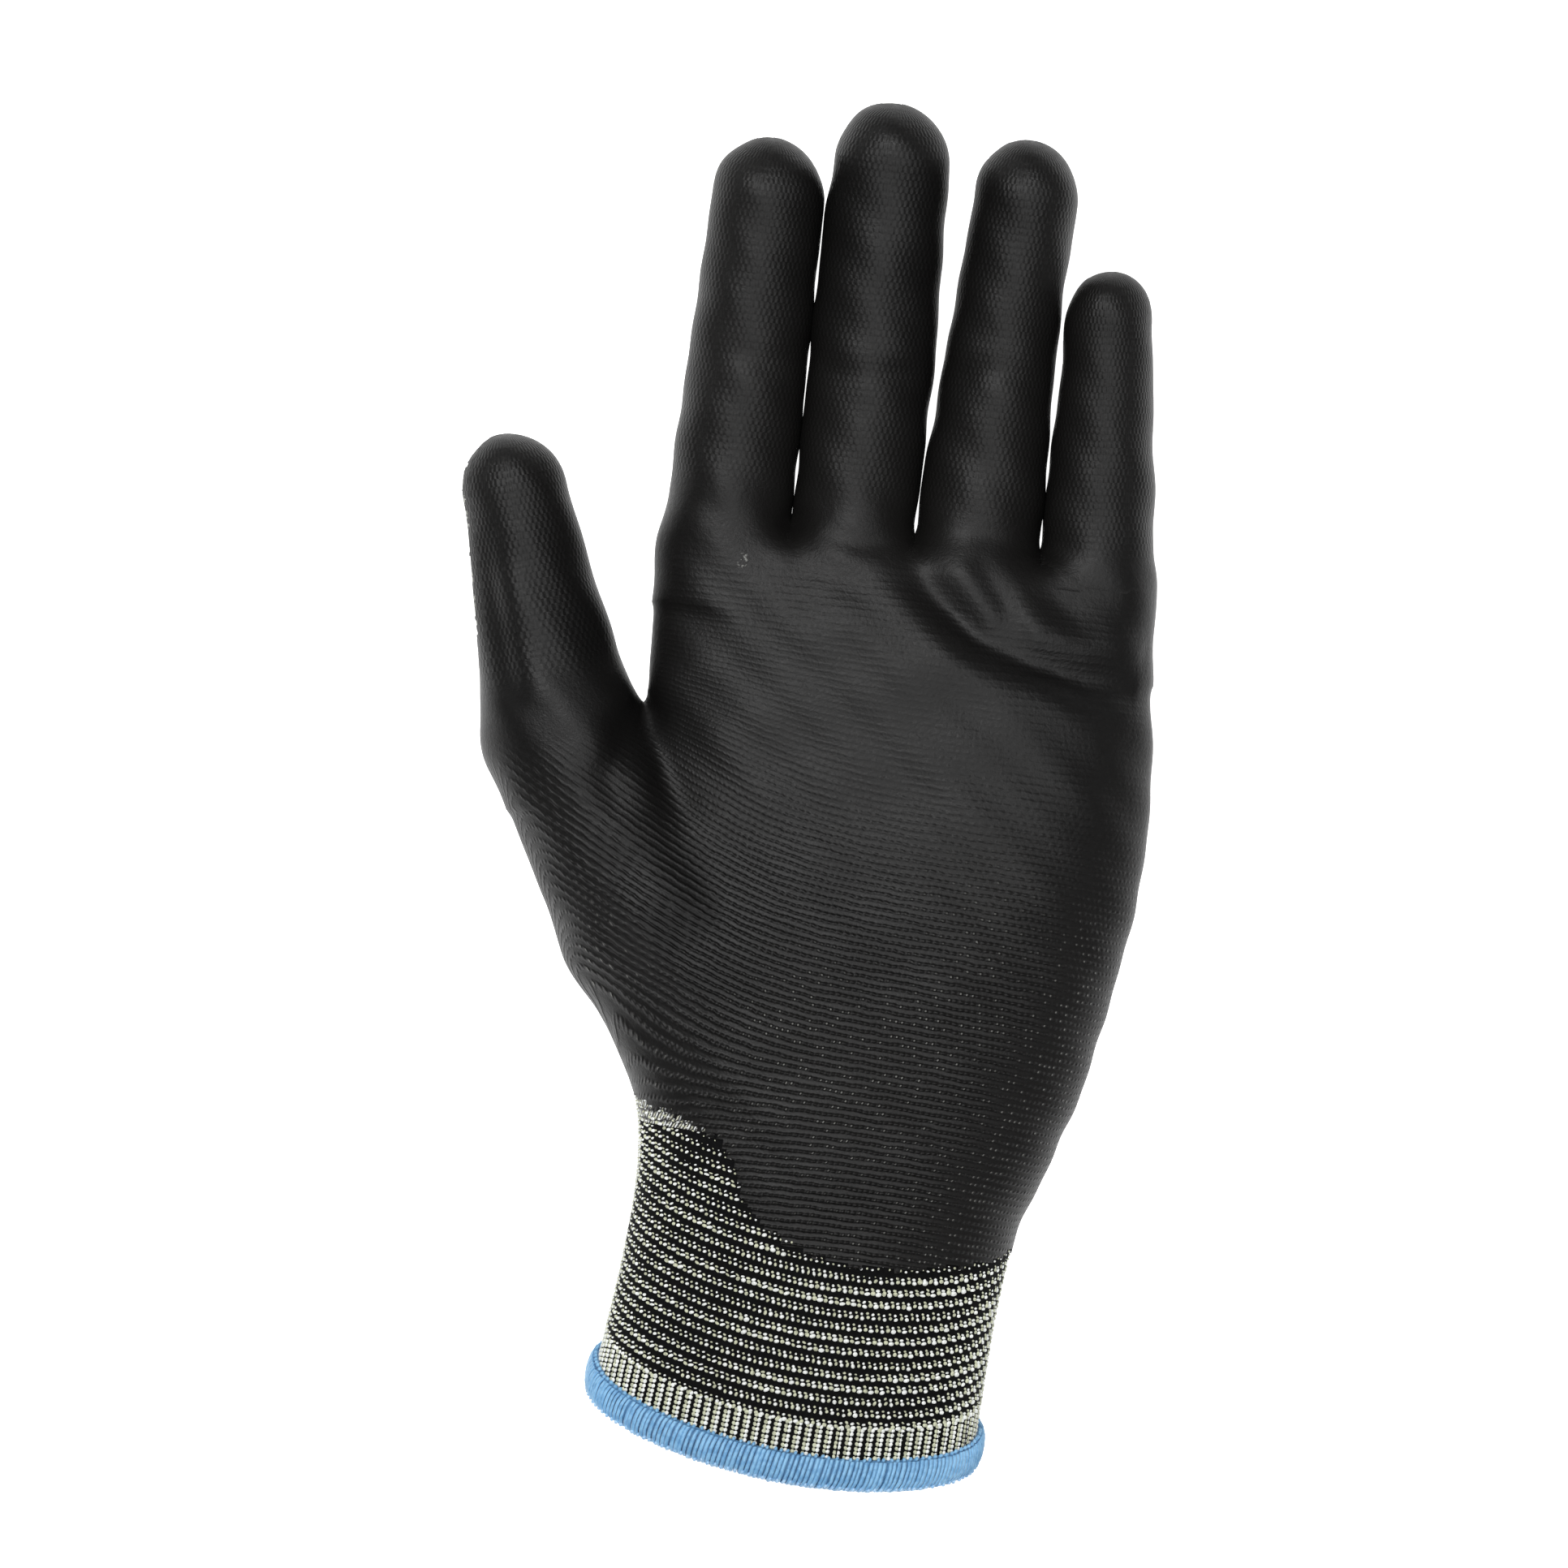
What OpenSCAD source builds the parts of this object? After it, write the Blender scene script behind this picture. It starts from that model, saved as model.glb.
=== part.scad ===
// Cut-resistant knit glove, left hand, palm side up (+Z), fingertips towards +Y,
// resting on the back of the hand. Each knit region that stays in shape is a
// separate shell, and each fold line between two regions has its own fold band.
// Layers, from the inside out: knitted liner, dipped coating (palm side only).

/* [Liner and coating] */
// Thickness of the knitted liner
liner_t = 1.0; // [0.8:0.1:1.2]
// Thickness of the dipped coating
coat_t = 0.45; // [0.3:0.05:0.6]
// How far the coating wraps past the side of each finger, in degrees
coat_wrap = 14; // [0:2:24]
// Gap between neighbouring pieces at a fold line
fold_gap = 0.2; // [0.15:0.05:0.4]

/* [Cuff] */
// Height of the cuff above the table
cuff_h = 39; // [36:1:42]
// How far the palm side of the rim reaches past the sides
rim_bow = 5.5; // [2:0.5:7]
// Number of elastic yarns laid into the cuff
elastic_n = 8; // [4:1:10]
// Radius of one elastic yarn
elastic_r = 0.35; // [0.25:0.05:0.45]

/* [Hem] */
// Thickness of the overlocked hem on each side of the cuff wall
hem_t = 0.9; // [0.6:0.1:1.2]
// Height of the hem band above the rim
hem_h = 3.0; // [2.5:0.25:4]
// Number of stitches round the hem
hem_n = 60; // [40:4:72]

/* [Folds] */
// Largest bend at the base of each finger
base_bend = 65; // [30:5:65]
// Largest bend at the middle fold of each finger
middle_bend = 80; // [40:5:80]
// Largest bend at the fingertip fold
tip_bend = 45; // [20:5:45]
// Largest bend at the base of the thumb
thumb_bend = 45; // [20:5:45]
// Largest bend at the thumb's tip fold
thumb_tip_bend = 60; // [20:5:60]
// Largest outward swing of the thumb
thumb_swing = 30; // [10:5:30]
// Largest bend at the wrist, each way
wrist_bend = 45; // [20:5:45]

/* [Hidden] */
shift = [5.0, -2.35, 0];
NF = 20;               // sides of a finger ring
NC = 32;               // sides of a cuff ring
fold_w = 1.3;          // half width of a fold band at the back of the hand
hoff = 1.6;            // fold axis above the middle of a finger, towards the palm
black = [0.05, 0.05, 0.055];
knit = [0.32, 0.33, 0.31];
blue = [0.30, 0.56, 0.82];

// A finger: 0 base point, 1 lean to the left, 2 roll to the right, 3 pitch up,
// 4 curl per mm, 5 half widths, 6 half depths, 7 start of the round end, 8 length,
// 9 fold positions, 10 fold angles. Lengths run from the web between the fingers.
INDEX = [[-21.9, 46.5, 15.2], -0.3, 0, 3, 0.16,
  [[-14, 11.0], [0, 10.3], [12, 10.2], [30, 9.8], [45, 9.4], [56, 9.1]],
  [[-14, 10.6], [0, 9.8], [12, 9.5], [30, 9.0], [45, 8.6], [56, 8.2]],
  56, 65.5, [8, 28, 47], [base_bend, middle_bend, tip_bend]];
MIDDLE = [[0.0, 46.5, 15.6], 1.0, 0, 3, 0.16,
  [[-14, 10.6], [0, 9.9], [12, 9.8], [32, 9.9], [52, 9.8], [64, 9.5]],
  [[-14, 10.6], [0, 9.9], [12, 9.6], [32, 9.2], [52, 8.8], [64, 8.4]],
  64, 74, [8, 30, 52], [base_bend, middle_bend, tip_bend]];
RING = [[21.5, 45.5, 15.4], -0.9, 0, 3, 0.16,
  [[-14, 10.6], [0, 9.9], [12, 9.8], [24, 9.1], [36, 8.6], [50, 8.6], [62, 8.5]],
  [[-14, 10.4], [0, 9.7], [12, 9.4], [36, 8.8], [50, 8.5], [62, 8.1]],
  62, 71.5, [8, 29, 50], [base_bend, middle_bend, tip_bend]];
LITTLE = [[43.3, 42.0, 14.6], 4.8, 0, 4, 0.18,
  [[-14, 10.2], [0, 9.3], [14, 9.0], [28, 8.2], [40, 7.5], [46, 7.2]],
  [[-14, 10.0], [0, 9.0], [14, 8.7], [28, 7.9], [40, 7.2], [46, 6.9]],
  46, 54.5, [7.5, 24, 39], [base_bend, middle_bend, tip_bend]];
THUMB = [[-46.8, 11.5, 18.5], 21.5, 35, 4, 0.1,
  [[-14, 13.8], [0, 12.9], [8, 12.3], [16, 11.6], [26, 10.6], [36, 9.7]],
  [[-14, 13.0], [0, 11.8], [8, 11.0], [16, 10.2], [26, 9.4], [36, 8.8]],
  36.5, 46.5, [3.5, 14.5, 29], [0, thumb_bend, thumb_tip_bend]];

// direction frame of a finger
function fwd(F) = [-sin(F[1]), cos(F[1]), 0];
function rgt(F) = [cos(F[1]), sin(F[1]), 0];
function nrm(F) = cos(F[2]) * [0, 0, 1] + sin(F[2]) * rgt(F);
function lat(F) = cos(F[2]) * rgt(F) - sin(F[2]) * [0, 0, 1];
function ang(F, s) = F[3] + F[4] * s;
function rad(F) = 180 / (PI * F[4]);
// point at length s, x to the right and y towards the palm side
function at(F, s, x, y) = F[0]
  + rad(F) * (sin(ang(F, s)) - sin(F[3])) * fwd(F)
  - rad(F) * (cos(ang(F, s)) - cos(F[3])) * nrm(F)
  + x * lat(F) + y * (cos(ang(F, s)) * nrm(F) - sin(ang(F, s)) * fwd(F));
function wid(F, s) = lookup(s, F[5]);
function dep(F, s) = lookup(s, F[6]);

// length at which a piece starts (side 1) or ends (side -1) beside fold i, at ring
// position x, y: the palm side is cut back so that the fold can close
function cutback(F, i, x, y) = i < 0 ? 0
  : F[10][i] == 0 ? fold_w + max(0, -x) * tan(thumb_swing / 2 - 1)
  : fold_w + max(0, y - hoff) * tan(F[10][i] / 2 - 3);
function edge(F, i, side, s0, a, e, g) =
  let (s = i < 0 ? s0 : F[9][i], x = (wid(F, s) + e) * cos(a), y = (dep(F, s) + e) * sin(a))
  s + side * (cutback(F, i, x, y) + g);

// ring of points between two edges; t from 0 to 1
function ringpts(F, e, A, B, t, a0, a1, n) = [for (k = [0 : n - 1])
  let (a = a0 + (a1 - a0) * k / (a1 - a0 == 360 ? n : n - 1),
       s = edge(F, A[0], A[1], A[2], a, e, A[3]) * (1 - t) + edge(F, B[0], B[1], B[2], a, e, B[3]) * t)
  at(F, s, (wid(F, s) + e) * cos(a), (dep(F, s) + e) * sin(a))];
// ring on the rounded end, b from 0 to 90
function endring(F, e, b, a0, a1, n) = [for (k = [0 : n - 1])
  let (a = a0 + (a1 - a0) * k / (a1 - a0 == 360 ? n : n - 1), s = F[7] + (F[8] + e - F[7]) * sin(b))
  at(F, s, (wid(F, F[7]) + e) * cos(b) * cos(a), (dep(F, F[7]) + e) * cos(b) * sin(a))];

function flat(l) = [for (a = l) for (b = a) b];
// side faces between rings that close on themselves
function closed_band(n, r0, r1, o = 0) = [for (k = [0 : n - 1]) let (j = (k + 1) % n)
  each [[o + r0 * n + k, o + r1 * n + k, o + r1 * n + j], [o + r0 * n + k, o + r1 * n + j, o + r0 * n + j]]];
function open_band(n, r0, r1) = [for (k = [0 : n - 2]) let (j = k + 1)
  each [[r0 * n + k, r1 * n + k, r1 * n + j], [r0 * n + k, r1 * n + j, r0 * n + j]]];
function turned(fs) = [for (f = fs) [for (i = [len(f) - 1 : -1 : 0]) f[i]]];

// open tube: outer rings, then inner rings
module tube(rout, rin) {
  n = len(rout[0]); m = len(rout);
  pts = flat(concat(rout, rin));
  f = concat(
    [for (r = [0 : m - 2]) each closed_band(n, r, r + 1)],
    [for (r = [0 : m - 2]) each turned(closed_band(n, m + r, m + r + 1))],
    turned(closed_band(n, 0, m)), closed_band(n, m - 1, 2 * m - 1));
  polyhedron(pts, turned(f));
}
// tube with one closed, rounded end: the last point of each set is its pole
module cap(rout, pout, rin, pin) {
  n = len(rout[0]); m = len(rout); q = len(rin);
  pts = concat(flat(rout), flat(rin), [pout, pin]);
  P = (m + q) * n;
  f = concat(
    [for (r = [0 : m - 2]) each closed_band(n, r, r + 1)],
    [for (r = [0 : q - 2]) each turned(closed_band(n, m + r, m + r + 1))],
    turned(closed_band(n, 0, m)),
    [for (k = [0 : n - 1]) [(m - 1) * n + k, P, (m - 1) * n + (k + 1) % n]],
    [for (k = [0 : n - 1]) [(m + q - 1) * n + (k + 1) % n, P + 1, (m + q - 1) * n + k]]);
  polyhedron(pts, turned(f));
}
// part of a tube's wall, from the first to the last point of each ring
module patch(rout, rin) {
  n = len(rout[0]); m = len(rout);
  pts = flat(concat(rout, rin));
  f = concat(
    [for (r = [0 : m - 2]) each open_band(n, r, r + 1)],
    [for (r = [0 : m - 2]) each turned(open_band(n, m + r, m + r + 1))],
    turned(open_band(n, 0, m)), open_band(n, m - 1, 2 * m - 1),
    [for (r = [0 : m - 2]) each [[r * n, (m + r) * n, (m + r + 1) * n], [r * n, (m + r + 1) * n, (r + 1) * n]]],
    [for (r = [0 : m - 2]) let (a = n - 1)
      each [[r * n + a, (m + r + 1) * n + a, (m + r) * n + a], [r * n + a, (r + 1) * n + a, (m + r + 1) * n + a]]]);
  polyhedron(pts, turned(f));
}
// solid plug along a finger, its ends fanned from their middle points
module plug(F, e, A, B) {
  n = NF; a0 = e < 0.2 && e != 0 ? 9 : 0;
  rs = [for (t = [0, 0.5, 1]) ringpts(F, e, A, B, t, a0, a0 + 360, n)];
  c0 = at(F, edge(F, A[0], A[1], A[2], 0, e, A[3]), 0, 0);
  c1 = at(F, edge(F, B[0], B[1], B[2], 0, e, B[3]), 0, 0);
  f = concat([for (r = [0 : 1]) each closed_band(n, r, r + 1)],
    [for (k = [0 : n - 1]) [3 * n, k, (k + 1) % n]],
    [for (k = [0 : n - 1]) [3 * n + 1, 2 * n + (k + 1) % n, 2 * n + k]]);
  polyhedron(concat(flat(rs), [c0, c1]), turned(f));
}

ce0 = 0.08;            // the coating starts just off the liner
function A_(i) = [i, 1, 0, fold_gap];
function B_(i) = [i, -1, 0, fold_gap];
ts = [0, 0.33, 0.67, 1];
bs = [0, 22, 44, 62, 77];

module finger_run(F, i, j) {
  color(knit) translate(shift) tube([for (t = ts) ringpts(F, 0, A_(i), B_(j), t, 0, 360, NF)],
    [for (t = ts) ringpts(F, -liner_t, A_(i), B_(j), t, 0, 360, NF)]);
}
module finger_tip(F, i) {
  E = [-1, 1, F[7], 0];
  color(knit) translate(shift) cap(
    concat([for (t = [0, 0.5]) ringpts(F, 0, A_(i), E, t, 0, 360, NF)], [for (b = bs) endring(F, 0, b, 0, 360, NF)]),
    at(F, F[8], 0, 0),
    concat([for (t = [0, 0.5]) ringpts(F, -liner_t, A_(i), E, t, 0, 360, NF)], [for (b = bs) endring(F, -liner_t, b, 0, 360, NF)]),
    at(F, F[8] - liner_t, 0, 0));
}
module finger_coat(F, i, j, w = coat_wrap) {
  n = 12; a0 = -w; a1 = 180 + w;
  color(black) translate(shift) patch([for (t = ts) ringpts(F, ce0 + coat_t, A_(i), B_(j), t, a0, a1, n)],
    [for (t = ts) ringpts(F, ce0, A_(i), B_(j), t, a0, a1, n)]);
}
module tip_coat(F, i, w = coat_wrap) {
  n = 12; a0 = -w; a1 = 180 + w; E = [-1, 1, F[7], 0];
  color(black) translate(shift) patch(
    concat([for (t = [0, 0.5]) ringpts(F, ce0 + coat_t, A_(i), E, t, a0, a1, n)], [for (b = bs) endring(F, ce0 + coat_t, b, a0, a1, n)]),
    concat([for (t = [0, 0.5]) ringpts(F, ce0, A_(i), E, t, a0, a1, n)], [for (b = bs) endring(F, ce0, b, a0, a1, n)]));
}
// the band of liner and coating at a fold, between the two pieces beside it
module fold(F, i) {
  // the little finger's first fold starts a little later, clear of the web beside it
  A = [i, -1, 0, F == LITTLE && i == 0 ? -0.5 : 0]; B = [i, 1, 0, 0];
  color(black) translate(shift) tube([for (t = [0, 0.5, 1]) ringpts(F, 0.25, A, B, t, 0, 360, NF)],
    [for (t = [0, 0.5, 1]) ringpts(F, -liner_t, A, B, t, 0, 360, NF)]);
}

// ---- palm ----
function superpt(a, hw, hd, n) = [hw * sign(cos(a)) * pow(abs(cos(a)), 2 / n), hd * sign(sin(a)) * pow(abs(sin(a)), 2 / n)];
// thin slab across the hand; e moves its outline out or in
module slab(y, xl, xr, zb, zt, e, n = 2.5) {
  hw = (xr - xl) / 2 + e; hd = (zt - zb) / 2 + e;
  translate([(xl + xr) / 2, y, (zb + zt) / 2]) rotate([90, 0, 0])
    linear_extrude(0.3, center = true) polygon([for (k = [0 : 23]) superpt(k * 15, hw, hd, n)]);
}
// stations along the palm: y, left, right, bottom, top
HEEL = [[-69, -23.6, 44.2, -1.2, 38.2], [-57, -24.5, 47.2, -1.2, 37.2], [-45, -31, 50.4, -1.2, 35.6], [-30, -39, 53.6, -1.2, 33.8], [-14, -48.5, 56, -1.2, 32.6], [0, -55, 57, -1, 31.6]];
function UPPER(e) = [[0, -29, 57, -1, 31.6], [13, -27.5, 56.2, -0.6, 30.4], [28, -32.4, 54.6, 1.2, 28.6], [43 + e, -31.8, 52.2, 4.4, 26]];
module band(S, i, e) { hull() { slab(S[i][0], S[i][1], S[i][2], S[i][3], S[i][4], e); slab(S[i + 1][0], S[i + 1][1], S[i + 1][2], S[i + 1][3], S[i + 1][4], e); } }
module hand_block(e) {
  for (i = [0 : 4]) band(HEEL, i, e);
  for (i = [0 : 2]) band(UPPER(e), i, e);
  // root of the thumb
  hull() {
    plug(THUMB, e, [-1, 1, -9, 0], [-1, 1, -8.6, 0]);
    slab(-0.6, -53.9, -18.3, -0.8, 31.1, e);
    slab(-13.6, -48.1, 0.4, -0.9, 32.3, e);
  }
  hull() { plug(THUMB, e, [-1, 1, -7.9, 0], [-1, 1, -4.3, 0]); slab(-1, -50, -20, 1, 30, e); translate([-24, 8, 15]) sphere(r = 9 + e, $fn = 20); }
}
// everything inside the hand's skin, cut flat where it rests on the table
module hand_outer(e, ext) {
  intersection() {
    union() {
      hand_block(e);
      for (F = [INDEX, MIDDLE, RING, LITTLE]) plug(F, e, [-1, 1, -10.1, 0], [0, -1, 0, fold_gap + ext]);
      plug(THUMB, e, [-1, 1, -6.1, 0], [0, -1, 0, fold_gap + ext]);
    }
    translate([-100, -150, -e]) cube([200, 300, 100]);
  }
}
// the flank of the wrist fold; up 1 keeps the hand, -1 keeps the cuff
wy = -70; wz = 19.5;
function wcut(z) = fold_w + abs(z - wz) * tan(wrist_bend / 2 - 1);
module wrist_side(up, g) {
  c = wcut(60) + g;
  translate([-100, wy, 0]) rotate([90, 0, 90]) linear_extrude(200)
    polygon([[up * (fold_w + g), wz], [up * c, 60], [up * 200, 60], [up * 200, -21], [up * c, -21]]);
}
// the fingers' cavities, drilled out past the folds
module hand_inner() {
  intersection() {
    union() {
      hand_block(-liner_t);
      for (F = [INDEX, MIDDLE, RING, LITTLE]) plug(F, -liner_t, [-1, 1, -11.3, 0], [-1, 1, F[9][0] + 3, 0]);
      plug(THUMB, -liner_t, [-1, 1, -7, 0], [-1, 1, 8, 0]);
      hull() { slab(HEEL[0][0] - 2, HEEL[0][1], HEEL[0][2], HEEL[0][3], HEEL[0][4], -liner_t); slab(HEEL[0][0], HEEL[0][1], HEEL[0][2], HEEL[0][3], HEEL[0][4], -liner_t); }
    }
    translate([-100, -150, liner_t]) cube([200, 300, 100]);
  }
}
module liner_palm() {
  color(knit) translate(shift) difference() {
    intersection() { hand_outer(0, 0); wrist_side(1, fold_gap); }
    hand_inner();
  }
}
// plan outline of the dipped area over the palm
DIP = [[-22, -60], [-30, -47], [-40, -31], [-52, -8], [-75, 25], [-60, 40], [-30, 70], [60, 70], [80, 0], [60, -50], [50, -62], [48, -64], [0, -64]];
module coating_palm() {
  color(black) translate(shift) intersection() {
    difference() { intersection() { hand_outer(ce0 + coat_t, 0); wrist_side(1, fold_gap); } hand_outer(ce0, -3); }
    translate([0, 0, 13]) linear_extrude(60) polygon(DIP);
  }
}
// ---- wrist and cuff ----
function cuff_x(y) = lookup(-y, [[66, 10.3], [72, 10.0], [85, 8.7], [98, 8.0], [112, 7.4]]);
function cuff_w(y) = lookup(-y, [[66, 34.2], [72, 33.6], [85, 32.7], [98, 33.0], [112, 33.6]]);
function cuff_d(y) = lookup(-y, [[66, 19.6], [72, 19.3], [85, 19.4], [98, 19.5], [112, 19.5]]) * cuff_h / 39;
function rim(a) = -105 - rim_bow * sin(a) - 2.8 * pow(sin(a), 2) - 2.6 * cos(a);
function cuff_top(a, e) = let (z = (cuff_d(wy) + e) * sin(a)) wy - fold_w - abs(z) * tan(wrist_bend / 2 - 1) - fold_gap;
function cuff_pt(a, y, e) = let (q = superpt(a, cuff_w(y) + e, cuff_d(y) + e, 2.3)) [cuff_x(y) + q[0], y, max(-e, wz + q[1])];
function cuff_ring(e, t) = [for (k = [0 : NC - 1]) let (a = 360 * k / NC, y = (1 - t) * cuff_top(a, e) + t * rim(a)) cuff_pt(a, y, e)];
module cuff_liner() {
  color(knit) translate(shift) tube([for (t = [1 : -0.2 : 0]) cuff_ring(0, t)], [for (t = [1 : -0.2 : 0]) cuff_ring(-liner_t, t)]);
}
module wrist_fold() {
  function wr(e, s) = [for (k = [0 : NC - 1]) let (a = 360 * k / NC, z = (cuff_d(wy) + e) * sin(a), y = wy + s * (fold_w + abs(z) * tan(wrist_bend / 2 - 1) - 0.1))
    cuff_pt(a, y, e)];
  color(black) translate(shift) tube([for (s = [-1, 0, 1]) wr(0, s)], [for (s = [-1, 0, 1]) wr(-liner_t, s)]);
}
module coating_tongue() {
  n = 15;
  function cr(e, t) = [for (k = [0 : n - 1]) let (a = 8 + 104 * k / (n - 1), y0 = cuff_top(a, e) - 0.1, y1 = lookup(a, [[8, -81], [60, -81.5], [80, -81], [95, -80.3], [112, -79.6]]))
    cuff_pt(a, (1 - t) * y0 + t * y1, e)];
  color(black) translate(shift) patch([for (t = [1, 0]) cr(ce0 + coat_t, t)], [for (t = [1, 0]) cr(ce0, t)]);
}
// elastic yarns lie against the inside of the cuff wall
module elastic_ring(t) {
  m = 24; q = 4; e = -liner_t - elastic_r - 0.12;
  pts = [for (k = [0 : m - 1]) let (a = 360 * k / m, y = (1 - t) * (cuff_top(a, 0) - 1) + t * (rim(a) + hem_h + 1))
    for (j = [0 : q - 1]) let (c = cuff_pt(a, y + elastic_r * cos(360 * j / q), e + elastic_r * sin(360 * j / q))) c];
  f = [for (k = [0 : m - 1]) for (j = [0 : q - 1]) let (a = k * q + j, b = ((k + 1) % m) * q + j, c = ((k + 1) % m) * q + (j + 1) % q, d = k * q + (j + 1) % q)
    each [[a, b, c], [a, c, d]]];
  polyhedron(pts, turned(f));
}
module elastic_yarns() {
  color("dimgray") translate(shift) for (i = [0 : elastic_n - 1]) elastic_ring(i / (elastic_n - 1));
}
// hem: a band of blue overlock thread wrapped round the raw edge
module hem_overlock() {
  g = 0.1; m = 40;
  sec = [[hem_t + g, hem_h], [hem_t + g, -1.0], [0.2, -1.6], [-liner_t - 0.2, -1.6], [-liner_t - g - hem_t, -1.0], [-liner_t - g - hem_t, hem_h],
    [-liner_t - g, hem_h], [-liner_t - g, -g], [g, -g], [g, hem_h]];
  q = len(sec);
  pts = [for (k = [0 : m - 1]) let (a = 360 * k / m) for (s = sec) let (p = cuff_pt(a, rim(a) + s[1], s[0])) [p[0], p[1], max(0, p[2])]];
  f = [for (k = [0 : m - 1]) for (j = [0 : q - 1]) let (a = k * q + j, b = ((k + 1) % m) * q + j, c = ((k + 1) % m) * q + (j + 1) % q, d = k * q + (j + 1) % q)
    each [[a, c, b], [a, d, c]]];
  color(blue) translate(shift) polyhedron(pts, f);
}
// needle thread: short stitches that lie over the top edge of the hem band
module hem_stitches() {
  color(blue) translate(shift) for (k = [0 : hem_n - 1]) let (a = 360 * (k + 0.5) / hem_n, b = 360 * (k + 0.95) / hem_n, y = rim(a) + hem_h + 0.25, y2 = rim(b) + hem_h + 0.9)
    if (sin(a) > -0.8) polyhedron([cuff_pt(a, y, 0.1), cuff_pt(a, y + 0.5, 0.1), cuff_pt(a, y + 0.5, 0.6), cuff_pt(a, y, 0.6),
      cuff_pt(b, y2, 0.1), cuff_pt(b, y2 + 0.5, 0.1), cuff_pt(b, y2 + 0.5, 0.6), cuff_pt(b, y2, 0.6)],
      turned([[0, 1, 2, 3], [7, 6, 5, 4], [0, 4, 5, 1], [1, 5, 6, 2], [2, 6, 7, 3], [3, 7, 4, 0]]));
}

liner_palm();
coating_palm();
finger_run(INDEX, 0, 1);  // index_base_liner
finger_coat(INDEX, 0, 1);  // index_base_coating
fold(INDEX, 0);  // index_base_fold
finger_run(INDEX, 1, 2);  // index_middle_liner
finger_coat(INDEX, 1, 2);  // index_middle_coating
fold(INDEX, 1);  // index_middle_fold
finger_tip(INDEX, 2);  // index_tip_liner
tip_coat(INDEX, 2);  // index_tip_coating
fold(INDEX, 2);  // index_tip_fold
finger_run(MIDDLE, 0, 1);  // middle_base_liner
finger_coat(MIDDLE, 0, 1);  // middle_base_coating
fold(MIDDLE, 0);  // middle_base_fold
finger_run(MIDDLE, 1, 2);  // middle_middle_liner
finger_coat(MIDDLE, 1, 2);  // middle_middle_coating
fold(MIDDLE, 1);  // middle_middle_fold
finger_tip(MIDDLE, 2);  // middle_tip_liner
tip_coat(MIDDLE, 2);  // middle_tip_coating
fold(MIDDLE, 2);  // middle_tip_fold
finger_run(RING, 0, 1);  // ring_base_liner
finger_coat(RING, 0, 1);  // ring_base_coating
fold(RING, 0);  // ring_base_fold
finger_run(RING, 1, 2);  // ring_middle_liner
finger_coat(RING, 1, 2);  // ring_middle_coating
fold(RING, 1);  // ring_middle_fold
finger_tip(RING, 2);  // ring_tip_liner
tip_coat(RING, 2);  // ring_tip_coating
fold(RING, 2);  // ring_tip_fold
finger_run(LITTLE, 0, 1);  // little_base_liner
finger_coat(LITTLE, 0, 1);  // little_base_coating
fold(LITTLE, 0);  // little_base_fold
finger_run(LITTLE, 1, 2);  // little_middle_liner
finger_coat(LITTLE, 1, 2);  // little_middle_coating
fold(LITTLE, 1);  // little_middle_fold
finger_tip(LITTLE, 2);  // little_tip_liner
tip_coat(LITTLE, 2);  // little_tip_coating
fold(LITTLE, 2);  // little_tip_fold
finger_run(THUMB, 0, 1);  // thumb_root_liner
finger_coat(THUMB, 0, 1);  // thumb_root_coating
fold(THUMB, 0);  // thumb_root_fold
finger_run(THUMB, 1, 2);  // thumb_base_liner
finger_coat(THUMB, 1, 2);  // thumb_base_coating
fold(THUMB, 1);  // thumb_base_fold
finger_tip(THUMB, 2);  // thumb_tip_liner
tip_coat(THUMB, 2);  // thumb_tip_coating
fold(THUMB, 2);  // thumb_tip_fold
wrist_fold();
cuff_liner();
coating_tongue();  // cuff_coating_edge
elastic_yarns();  // cuff_elastic_yarns
hem_overlock();  // cuff_hem_overlock
hem_stitches();  // cuff_hem_stitches
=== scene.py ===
import bpy, math, json
import numpy as np
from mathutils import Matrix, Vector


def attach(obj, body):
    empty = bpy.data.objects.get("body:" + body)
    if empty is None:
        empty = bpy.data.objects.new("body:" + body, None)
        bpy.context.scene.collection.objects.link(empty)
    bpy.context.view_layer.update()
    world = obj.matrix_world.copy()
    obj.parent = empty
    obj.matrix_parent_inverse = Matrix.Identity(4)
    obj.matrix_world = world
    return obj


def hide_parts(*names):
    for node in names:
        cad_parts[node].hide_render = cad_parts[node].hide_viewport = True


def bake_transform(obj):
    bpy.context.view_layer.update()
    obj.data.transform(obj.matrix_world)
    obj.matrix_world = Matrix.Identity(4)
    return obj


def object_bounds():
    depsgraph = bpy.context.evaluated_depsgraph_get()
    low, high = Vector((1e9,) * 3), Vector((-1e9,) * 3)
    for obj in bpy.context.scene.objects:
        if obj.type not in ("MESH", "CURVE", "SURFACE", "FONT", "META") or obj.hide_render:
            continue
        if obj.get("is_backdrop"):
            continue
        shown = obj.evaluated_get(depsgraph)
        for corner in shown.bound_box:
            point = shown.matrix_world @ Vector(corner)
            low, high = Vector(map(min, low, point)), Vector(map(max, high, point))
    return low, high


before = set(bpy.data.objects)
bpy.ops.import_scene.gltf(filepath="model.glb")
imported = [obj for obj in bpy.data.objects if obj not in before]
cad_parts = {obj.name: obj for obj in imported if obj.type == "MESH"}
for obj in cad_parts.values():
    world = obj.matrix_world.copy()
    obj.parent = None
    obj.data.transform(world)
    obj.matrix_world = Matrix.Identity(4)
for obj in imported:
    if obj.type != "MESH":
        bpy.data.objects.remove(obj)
cad_lo, cad_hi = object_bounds()

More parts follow.
